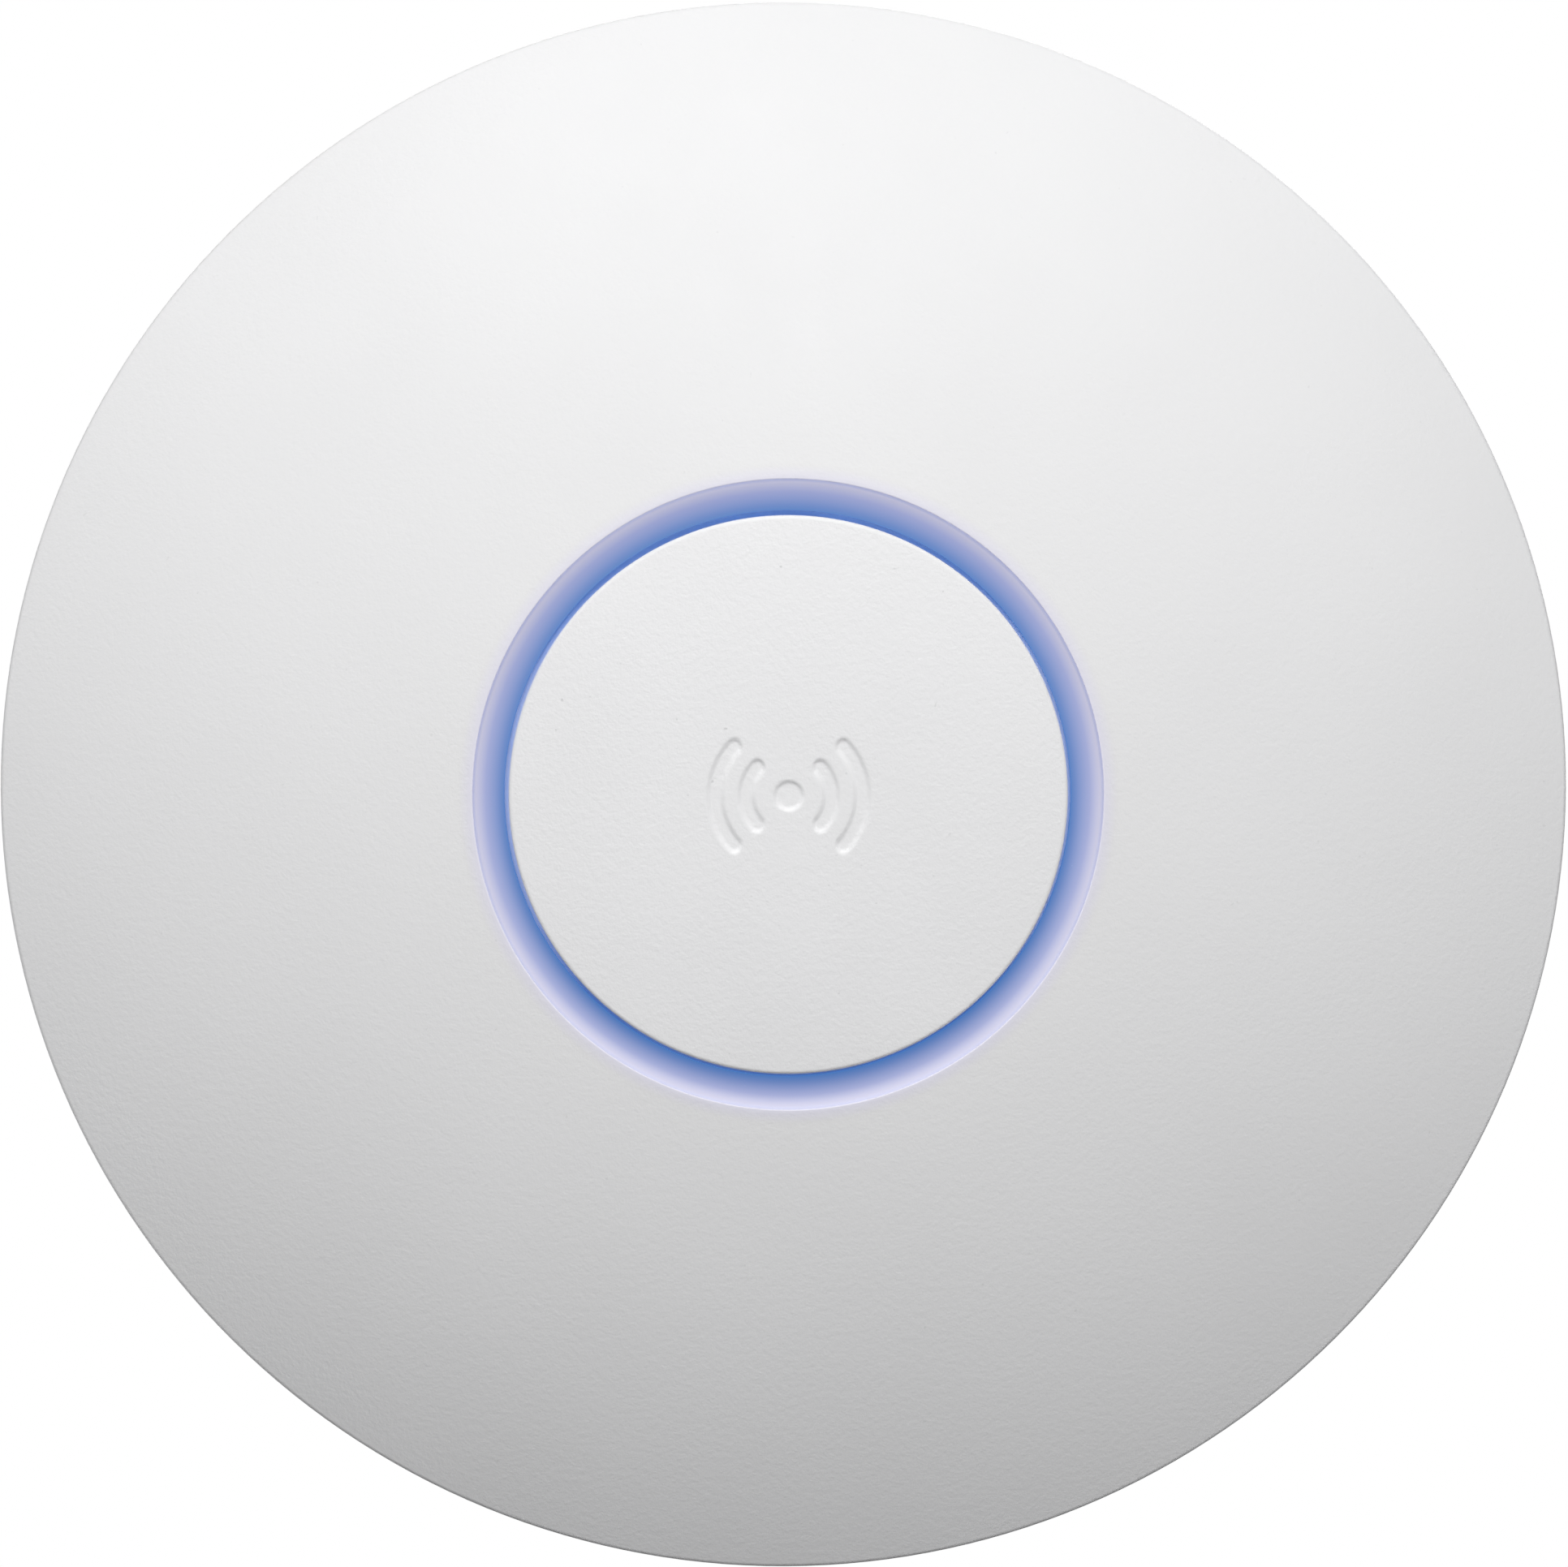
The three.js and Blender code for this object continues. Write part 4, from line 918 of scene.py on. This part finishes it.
def bracket_outline():
    """The plate's section: the ceiling side with two shallow lines, the skirt, the under side and the hub."""
    soft, skirt_r, line = 0.5, PLATE_R - SKIRT, LINE_HALF - 0.15
    return [
        (0, 0), (HUB_R - 1.2, 0), (HUB_R - 1.0, -LINE_DEEP), (HUB_R - 0.2, -LINE_DEEP), (HUB_R, 0),
        (LINE_R - LINE_HALF, 0), (LINE_R - line, -LINE_DEEP), (LINE_R + line, -LINE_DEEP),
        (LINE_R + LINE_HALF, 0),
        (PLATE_R - soft, 0), *bezier((PLATE_R - soft, 0), (PLATE_R, 0), (PLATE_R, -soft), 5),
        (PLATE_R, RIM_Z + 0.2), (PLATE_R - 0.2, RIM_Z), (skirt_r + 0.2, RIM_Z), (skirt_r, RIM_Z + 0.2),
        (skirt_r, PLATE_UNDER - 0.4), (skirt_r - 0.4, PLATE_UNDER), (HUB_R + 0.4, PLATE_UNDER),
        (HUB_R, PLATE_UNDER - 0.4), (HUB_R, HUB_FOOT + 0.2), (HUB_R - 0.2, HUB_FOOT), (0, HUB_FOOT)]


def bracket_tools():
    """Tools for the cable mouth, the slots and holes, the room round the finger and the turning arrow."""
    through = -10
    mouth = soft_corners(rectangle(-29, 29, -70, -20), 8, 10)
    tools = [pocket(mouth, through, 0, 0.5)]
    slot = slot_shape(SLOT_AT, SLOT_RUN, SLOT_R)
    tools += [pocket(turned_by(slot, a), through, 0, 0.9) for a in SLOT_TURNS]
    tools += sunk_holes(1.8, through, 0, spots_round(22, SMALL_HOLES), 0.4, 28)
    inner, outer, end = FINGER_R - FINGER_WALL / 2 - 3.2, TAB_R + 1, FINGER_TO + 2.5
    tools.append(block("room", sector(inner, outer, FINGER_FROM + 1.5, end), -8, FINGER_TOP + GAP))
    window = soft_corners(sector(inner, outer, NIB_FROM - 2, end), 0.8, bend=40)
    tools.append(pocket(window, -8, 0, 0.4))
    arrow_line = soft_corners(sector(40.3, 41.7, 34, 62.2), 0.4, bend=40)
    arrow_head = turned_by([(43.8, 0), (41.0, 5.4), (38.2, 0)], 62)
    return tools + [pocket(shape, -0.55, 0, 0.12) for shape in (arrow_line, arrow_head)]


def bracket():
    plate = lathe("bracket_plate", bracket_outline())
    rib = rounded(HUB_R - 1, PLATE_R - 1.5, -0.8, 0.8, 0.2)
    tabs = [ring_part("tab", PLATE_R - 1, TAB_R, a - TAB_HALF, a + TAB_HALF, RIM_Z, TAB_TOP)
            for a in TAB_ANGLES]
    ribs = [block("rib", turned_by(rib, a), HUB_FOOT, PLATE_UNDER + 0.2, 0.2) for a in RIB_TURNS]
    add(plate, *tabs, *ribs)
    cut(plate, *bracket_tools())
    finished(plate, "mounting_bracket")


def lock_finger():
    r0, r1 = FINGER_R - FINGER_WALL / 2, FINGER_R + FINGER_WALL / 2
    arm = ring_part("finger_arm", r0, r1, FINGER_FROM + 2.2, FINGER_TO, FINGER_UNDER, FINGER_TOP, 0.2, 0.3)
    nib = ring_part("nib", r1 - 0.4, NIB_R, NIB_FROM, FINGER_TO, FINGER_UNDER, -3.2, 0.25, 0.8)
    pad = ring_part("pad", r0, r1, NIB_FROM + 0.6, FINGER_TO, FINGER_UNDER, -0.6, 0.25, 0.5)
    finished(add(arm, nib, pad), "lock_finger")


# ---- Screws ----
def screw_mesh(length):
    """A pan-head screw: its head bears on z = 0, its shank points up and its cross recess faces down."""
    thread, pitch, plain = 0.22, 0.55, 0.6
    core, flat_r, top = SCREW_SHANK - thread, SCREW_HEAD * 0.55, -SCREW_HEAD_HIGH
    outline = [(0, top), (flat_r, top), *bezier((flat_r, top), (SCREW_HEAD, top), (SCREW_HEAD, -0.35), 8),
               (SCREW_HEAD - 0.15, 0), (core, 0), (core, plain)]
    z = plain
    while z < length - 1.6:
        outline += [(SCREW_SHANK, z + pitch * 0.35), (SCREW_SHANK, z + pitch * 0.5), (core, z + pitch * 0.9)]
        z += pitch
    outline += [(core, length - 1.2), (0.25, length), (0, length)]
    screw = lathe("screw_source", outline, 40)
    crosses = []
    for angle in (0, 90):
        arm = turned_by(rectangle(-1.45, 1.45, -0.28, 0.28), angle)
        levels = [(grown(arm, wider), top + up) for wider, up in ((0.08, -1), (0.05, 0), (-0.12, 1))]
        crosses.append(loft("cross", levels))
    cut(screw, *crosses)
    mesh = screw.data
    bpy.data.objects.remove(screw)
    return mesh


def screws():
    for family, length, flips in (("board_screw", 12, False), ("cover_screw", 11, True)):
        mesh = screw_mesh(length)
        for k in range(1, 5):
            name = f"{family}_{k}"
            bearing = low(name).z + length if flips else high(name).z - length
            screw = linked(f"{name}_fine", mesh.copy())
            spin = Matrix.Rotation(math.radians(37 * k), 4, "Z")
            flip = Matrix.Rotation(math.pi if flips else 0, 4, "X")
            at = Vector((mid(name).x, mid(name).y, bearing)) * MM
            screw.data.transform(Matrix.Translation(at) @ flip @ spin)
            finished(screw, name)
        bpy.data.meshes.remove(mesh)


# ---- Guide holder ----
def guide_holder():
    r0, r1, soft = 27.4, 36.4, 0.3
    z0, z1 = low("guide_holder").z, low("guide_holder").z + 1.2
    outline = [(r0, z0), (r1 - 0.2, z0), (r1, z0 + 0.2), (r1, z1 - soft), (r1 - soft, z1), (r0 + soft, z1),
               (r0, z1 - soft)]
    plate = lathe("guide_holder_plate", outline)
    feet = spots_round(GUIDE_LEG_R, (30, 150, 270))
    add(plate, *[post("foot", 1.5, z1 - 0.2, BOARD_LOW, x, y, 0, 0.1, 28) for x, y in feet])
    cut(plate, *sunk_holes(GUIDE_LEG + GAP, z0 - 1, z1, LEG_SPOTS, 0.15, 28))
    finished(plate, "guide_holder")


# ---- Board and heat spreader ----
KEEP_OUT = BAY_HALF + 2


def open_disc(r, inner):
    """A disc with the port bay's corner cut away; inner lists the cut's corners from left to right."""
    reach = math.degrees(math.asin(KEEP_OUT / r))
    return arc(0, 0, r, reach - 90, 270 - reach, 150) + inner


def main_board():
    corners = [(-KEEP_OUT, -38), (KEEP_OUT, -38)]
    board = block("board", open_disc(67, corners), BOARD_LOW, BOARD_HIGH, 0.08, 0.08, 2)
    cut(board, *holes(SCREW_HOLE, BOARD_LOW - 1, BOARD_HIGH + 1, BOARD_SCREWS, 28))
    finished(board, "main_board")


def heat_spreader():
    top, under = -15.6, -17.1
    corners = [(-KEEP_OUT, -38), (-29, -38), (-29, -1), (35.5, -1), (35.5, -38), (KEEP_OUT, -38)]
    plate = block("spreader", soft_corners(open_disc(62, corners), 1.2, bend=40), under, top, 0.15, 0.25, 3)
    add(plate, *[post("standoff", 2.8, BOARD_HIGH, under + 0.2, x, y, 0.2, 0) for x, y in BOARD_SCREWS])
    for x in (20, -21.2, 36, -37.2):
        add(plate, block("rib", rounded(x, x + 1.2, 6, 40, 0.4), top - 0.2, top + 3, 0, 0.35, 3))
    cut(plate, *holes(SCREW_HOLE, -30, -10, BOARD_SCREWS, 28))
    finished(plate, "heat_spreader")


def footprint(node, inset=0.0, corner=0.6):
    a, b = low(node), high(node)
    return rounded(a.x + inset, b.x - inset, a.y + inset, b.y - inset, corner)


def shield_can(node):
    z0, z1 = low(node).z, high(node).z
    can = block(f"{node}_fine", footprint(node), z0, z1, 0, 0.35, 4)
    cut(can, block("room", footprint(node, 0.5, 0.3), z0 - 1, z1 - 0.5, 0, 0.2))
    a, b = low(node), high(node)
    vents = [(x, y) for x in (a.x + 3, b.x - 3) for y in span(a.y + 4, b.y - 4, 4)]
    cut(can, *holes(0.6, z1 - 1, z1 + 1, vents, 16))
    finished(can, node)


def thermal_pad(node):
    a, b = low(node), high(node)
    pad = block(f"{node}_fine", footprint(node, 0, 0.8), a.z, b.z, 0.2, 0.2, 3)
    finished(pad, node, 60)


# ---- Sockets ----
PLUG_HALF, PLUG_HIGH, PLUG_SILL, PLUG_DEEP = 5.9, 6.8, 1.3, 14
CLIP_HALF, CLIP_HIGH = 3.1, 2.6
WIRES, WIRE_PITCH, WIRE_R = 8, 1.02, 0.23
USB_WALL, USB_DEEP = 0.95, 11.5


def network_jack(node):
    a, b, x = low(node), high(node), mid(node).x
    sill, roof = a.z + PLUG_SILL, a.z + PLUG_SILL + PLUG_HIGH
    jack = socket_block(f"{node}_fine", node, 0.5, 0.2, 0.3)
    step = rounded(a.x - 1, b.x + 1, a.z - 1, a.z + 0.7, 0.1)
    right = [(PLUG_HALF, sill), (PLUG_HALF, roof), (CLIP_HALF, roof), (CLIP_HALF, roof + CLIP_HIGH)]
    left = [(-dx, z) for dx, z in reversed(right)]
    mouth = shifted([left[-1], *right, *left[:-1]], x, 0)
    cut(jack, facing_out(named_block("step"), step, a.y - 1, a.y + 2.2),
        facing_out(pocket, soft_corners(mouth, 0.25, bend=40), a.y, a.y + PLUG_DEEP, 0.35))
    finished(jack, node)


def tube(name, path, r, steps=12):
    """A round wire along a smooth path of points, with closed ends."""
    curve = bpy.data.curves.new(name, "CURVE")
    curve.dimensions = "3D"
    curve.bevel_depth = r * MM
    curve.bevel_resolution = steps // 4
    curve.use_fill_caps = True
    spline = curve.splines.new("NURBS")
    spline.points.add(len(path) - 1)
    for point, at in zip(spline.points, path):
        point.co = (*(Vector(at) * MM), 1)
    spline.order_u = 4
    spline.use_endpoint_u = True
    spline.resolution_u = 8
    holder = linked(name, curve)
    mesh = baked(holder)
    bpy.data.objects.remove(holder)
    bpy.data.curves.remove(curve)
    mend(mesh, WELD)
    return linked(name, mesh)


def jack_contacts(node):
    """Sprung wires side by side that reach from their carrier into the plug's room."""
    a, b = low(node), high(node)
    middle = (a.x + b.x) / 2
    comb = block(f"{node}_fine", rounded(a.x, b.x, b.y - 3, b.y, 0.3), a.z, b.z, 0.15, 0.3)
    z = a.z + 0.85
    bends = ((-2.9, 0), (-5, 0), (-7, 0.15), (-8.6, 0.1), (-9.7, -0.15))
    wires = []
    for k in range(WIRES):
        x = middle + (k - (WIRES - 1) / 2) * WIRE_PITCH
        wires.append(tube("wire", [(x, b.y + dy, z + dz) for dy, dz in bends], WIRE_R))
    finished(add(comb, *wires), node, 40)


def usb_port():
    a, b, wall = low("usb_port"), high("usb_port"), USB_WALL
    shell = socket_block("usb_shell", "usb_port", 0.9, 0.2, 0.25)
    room = rounded(a.x + wall, b.x - wall, a.z + wall, b.z - wall, 0.4)
    cut(shell, facing_out(pocket, room, a.y, a.y + USB_DEEP, 0.3))
    finished(shell, "usb_port")


def usb_tongue():
    a, b = low("usb_tongue"), high("usb_tongue")
    tongue = socket_block("usb_tongue_fine", "usb_tongue", 0.2, 0.1, 0.3)
    grooves = []
    for x in span(a.x + 2.1, b.x - 2.1, 3):
        groove = rounded(x - 0.55, x + 0.55, a.y + 1.2, b.y + 1, 0.2)
        grooves.append(block("groove", groove, a.z - 1, a.z + 0.25))
    finished(cut(tongue, *grooves), "usb_tongue")


def reset_switch():
    front, button = low("reset_switch").y, mid("reset_button")
    switch = socket_block("reset_switch_fine", "reset_switch", 0.4, 0.2, 0.3)
    cut(switch, facing_out(pocket, circle(BUTTON_HOLE, button.x, button.z, 32), front, front + 1.8, 0.15))
    finished(switch, "reset_switch")


def reset_button():
    """A stem with a collar that keeps it in the case, drawn face up from its back end."""
    front, back = -low("reset_button").y, -high("reset_button").y
    stem, collar, collar_back, collar_front = 1.9, 2.8, 37.2, 38.2
    shoulder = (stem, front - 0.5)
    outline = [(0, back), (stem - 0.2, back), (stem, back + 0.2),
               (stem, collar_back), (collar - 0.15, collar_back), (collar, collar_back + 0.15),
               (collar, collar_front - 0.35), (collar - 0.15, collar_front), (stem, collar_front), shoulder,
               *bezier(shoulder, (1.85, front), (1.2, front), 5),
               *bezier((1.2, front), (0.6, front - 0.12), (0, front - 0.14), 5)[:-1], (0, front - 0.14)]
    button = lathe("reset_button_fine", outline, 48)
    moved(button, mid("reset_button").x, mid("reset_button").z)
    finished(out_of_bay(button), "reset_button")


# ---- Small parts on the board ----
def line_transformer(node):
    """A moulded block with rounded edges and a dimple that marks its first pin."""
    a, b = low(node), high(node)
    body = block(f"{node}_fine", footprint(node, 0, 0.5), a.z, b.z, 0.15, 0.35, 4)
    cut(body, pocket(circle(0.6, a.x + 2.2, b.y - 2.2, 24), b.z - 0.3, b.z, 0.1))
    finished(body, node)


def inductor():
    bottom, top = low("power_inductor").z, high("power_inductor").z
    body = block("power_inductor_fine", footprint("power_inductor", 0, 1.4), bottom, top, 0.2, 0.3, 4)
    groove = lathe("groove", [(2.3, top + 1), (2.3, top - 0.4), (2.7, top - 0.4), (2.7, top + 1)], 48)
    cut(body, moved(groove, mid("power_inductor").x, mid("power_inductor").y))
    finished(body, "power_inductor")


def capacitor(node):
    """A can with a crimped foot, a sleeve rolled over its top edge and a scored top."""
    foot, top, r = low(node).z, high(node).z, (high(node).x - low(node).x) / 2
    x, y = mid(node).x, mid(node).y
    crimp = bezier((r, foot + 1.0), (r - 0.7, foot + 1.4), (r, foot + 1.8), 6)
    roll = bezier((r, top - 0.5), (r, top), (r - 0.6, top), 5)
    outline = [(0, foot), (r - 0.3, foot), (r, foot + 0.3), (r, foot + 1.0), *crimp, (r, top - 0.5), *roll,
               (r - 0.8, top), (r - 0.95, top - 0.15), (0, top - 0.15)]
    can = moved(lathe(f"{node}_fine", outline, 64), x, y)
    score = rounded(-2.2, 2.2, -0.12, 0.12, 0.05)
    cut(can, *[block("score", shifted(turned_by(score, t), x, y), top - 0.32, top + 1) for t in (0, 90)])
    finished(can, node)


def ring_led(node, angle):
    """A square lamp with a round dish in its under side, which faces the guide's leg."""
    a, b, half = low(node), high(node), 1.4
    outline = shifted(turned_by(rounded(-half, half, -half, half, 0.25), angle), mid(node).x, mid(node).y)
    lamp = block(f"{node}_fine", outline, a.z, b.z, 0.1, 0.05, 3)
    dish = pocket(circle(1.05, mid(node).x, mid(node).y, 32), -a.z - 0.2, -a.z, 0.12)
    dish.data.transform(Matrix.Diagonal((1, 1, -1, 1)))
    dish.data.flip_normals()
    finished(cut(lamp, dish), node)


# ---- Aerials ----
AERIAL_TURNS = (90, 205, 335)
LEAD_PATH = ((61.6, 0, -20), (63.6, 0, -19.4), (64.4, 0, -16), (65, 1, -11), (66.2, 2, -7.5), (68, 2, -4.8))


def turned_piece(obj, angle):
    obj.data.transform(Matrix.Rotation(math.radians(angle), 4, "Z"))
    return obj


def strip(name, corners, y0, y1, sheet, bend_r=0.9):
    """A folded metal strip: corners are its middle line in (x, z), and it is y1 - y0 wide."""
    line = [corners[0]]
    for before, here, after in zip(corners, corners[1:], corners[2:]):
        b, h, a = Vector(before), Vector(here), Vector(after)
        start, end = h + (b - h).normalized() * bend_r, h + (a - h).normalized() * bend_r
        line += [tuple(start)] + bezier(start, h, end, 5)
    line.append(corners[-1])
    there, back = [], []
    for i, p in enumerate(line):
        before, after = Vector(line[max(0, i - 1)]), Vector(line[min(len(line) - 1, i + 1)])
        along = (after - before).normalized()
        side = Vector((-along.y, along.x)) * sheet / 2
        there.append(tuple(Vector(p) + side))
        back.append(tuple(Vector(p) - side))
    return facing_out(named_block(name), there + back[::-1], y0, y1)


def aerial(node, angle):
    """A stamped strip folded over and back under itself, with the strap that feeds it."""
    top, low_arm, sheet = BACK_Z - SHELL_WALL - GAP - 0.3, -13.1, 0.6
    inner, outer = 67, 78.2
    roof = strip(f"{node}_fine", [(65, top), (outer, top), (outer, -9.5)], -14, 14, sheet)
    hook = strip("hook", [(outer, top - 1.5), (outer, low_arm), (inner, low_arm)], -14, -8, sheet)
    arm_shape = rounded(inner, 76.5, -14, 6, 0.6)
    arm = block("arm", arm_shape, low_arm - sheet / 2, low_arm + sheet / 2, 0.08, 0.08, 2)
    strap = block("strap", rounded(inner, 70, 4, 4.6, 0.2), low_arm - 0.2, top + 0.1)
    add(roof, hook, arm, strap)
    cut(roof, *holes(1.2, top - 1, top + 1, ((72, -8), (72, 8))))
    finished(turned_piece(roof, angle), node)


def aerial_lead(node, angle):
    lead = tube(f"{node}_fine", [LEAD_PATH[0], *LEAD_PATH, LEAD_PATH[-1]], 0.6, 24)
    finished(turned_piece(lead, angle), node, 60)


def aerial_plug(node, angle):
    """A small round coaxial plug on its square pad."""
    at, z = 60, BOARD_HIGH
    pad = block(f"{node}_fine", rounded(at - 1.4, at + 1.4, -1.4, 1.4, 0.2), z, z + 0.4, 0, 0.08, 2)
    shell = lathe("shell", [(0, z + 0.2), (1.1, z + 0.2), (1.1, z + 1.2), (0.95, z + 1.4), (0.7, z + 1.4),
                            (0.6, z + 1.15), (0, z + 1.15)], 40)
    finished(turned_piece(add(pad, moved(shell, at, 0)), angle), node)


front_cover()
centre_cap()
light_guide()
guide_holder()
back_shell()
rim_gasket()
bracket()
lock_finger()
screws()
main_board()
heat_spreader()
for number, can in enumerate(("processor_shield", "radio_shield_1", "radio_shield_2"), 1):
    shield_can(can)
    thermal_pad(f"thermal_pad_{number}")
for number in (1, 2):
    network_jack(f"network_jack_{number}")
    jack_contacts(f"jack_contacts_{number}")
    line_transformer(f"line_transformer_{number}")
    capacitor(f"capacitor_{number}")
usb_port()
usb_tongue()
reset_switch()
reset_button()
inductor()
for number, angle in enumerate(LED_TURNS, 1):
    ring_led(f"ring_led_{number}", angle)
for number, angle in enumerate(AERIAL_TURNS, 1):
    aerial(f"aerial_{number}", angle)
    aerial_lead(f"aerial_lead_{number}", angle)
    aerial_plug(f"aerial_plug_{number}", angle)


# ---- Lights, floor and world ----
LIT_POINT = Vector((0, 0, -0.017))


def soft_light(name, spot, size, power):
    """A round lamp, unseen by the camera, that points at the object."""
    lamp = bpy.data.lights.new(name, "AREA")
    lamp.shape = "DISK"
    lamp.size = size
    lamp.energy = power
    light = linked(name, lamp)
    light.location = spot
    light.rotation_mode = "QUATERNION"
    light.rotation_quaternion = (LIT_POINT - Vector(spot)).to_track_quat("-Z", "Y")
    light.visible_camera = False


soft_light("key_below", (-0.05, -0.94, -1.24), 1.2, 25.1)
soft_light("right_fill", (1.28, 0.45, -0.38), 0.7, 1.9)
soft_light("left_fill", (-1.28, -0.3, -0.38), 0.7, 1.2)
soft_light("back_above", (0.5, -0.9, 1.5), 1.0, 18)
soft_light("back_fill", (-1.0, 0.8, 1.2), 0.9, 9)

FLOOR_Z, FLOOR_HALF = -2400, 40000
floor_shape = rectangle(-FLOOR_HALF, FLOOR_HALF, -FLOOR_HALF, FLOOR_HALF)
floor = mesh_object("floor", [(x, y, FLOOR_Z) for x, y in floor_shape], [(0, 1, 2, 3)])
pale, pale_tree, pale_shader = new_material("pale_floor")
feed(pale_tree, pale_shader, Base_Color=(0.8, 0.8, 0.8, 1), Roughness=0.9,
     Emission_Color=(0.62, 0.62, 0.625, 1), Emission_Strength=1.0)
floor.data.materials.append(pale)
floor.visible_diffuse = floor.visible_glossy = False

# The camera sees a backdrop that is white above and pale grey towards the sides and below.
world = bpy.data.worlds.new("world")
scene.world = world
world.use_nodes = True
sky = world.node_tree
upward = node(sky, "SeparateXYZ", {0: node(sky, "TexCoord").outputs["Generated"]}).outputs[2]
backdrop = mixed(sky, between(sky, upward, 0.3, 0.8), (0.74, 0.74, 0.745), (1, 1, 1))
seen = node(sky, "LightPath").outputs["Is Camera Ray"]
world_light = mixed(sky, seen, (0.14, 0.14, 0.143), backdrop)
sky.links.new(world_light, sky.nodes["Background"].inputs["Color"])
scene.view_settings.view_transform = "Standard"
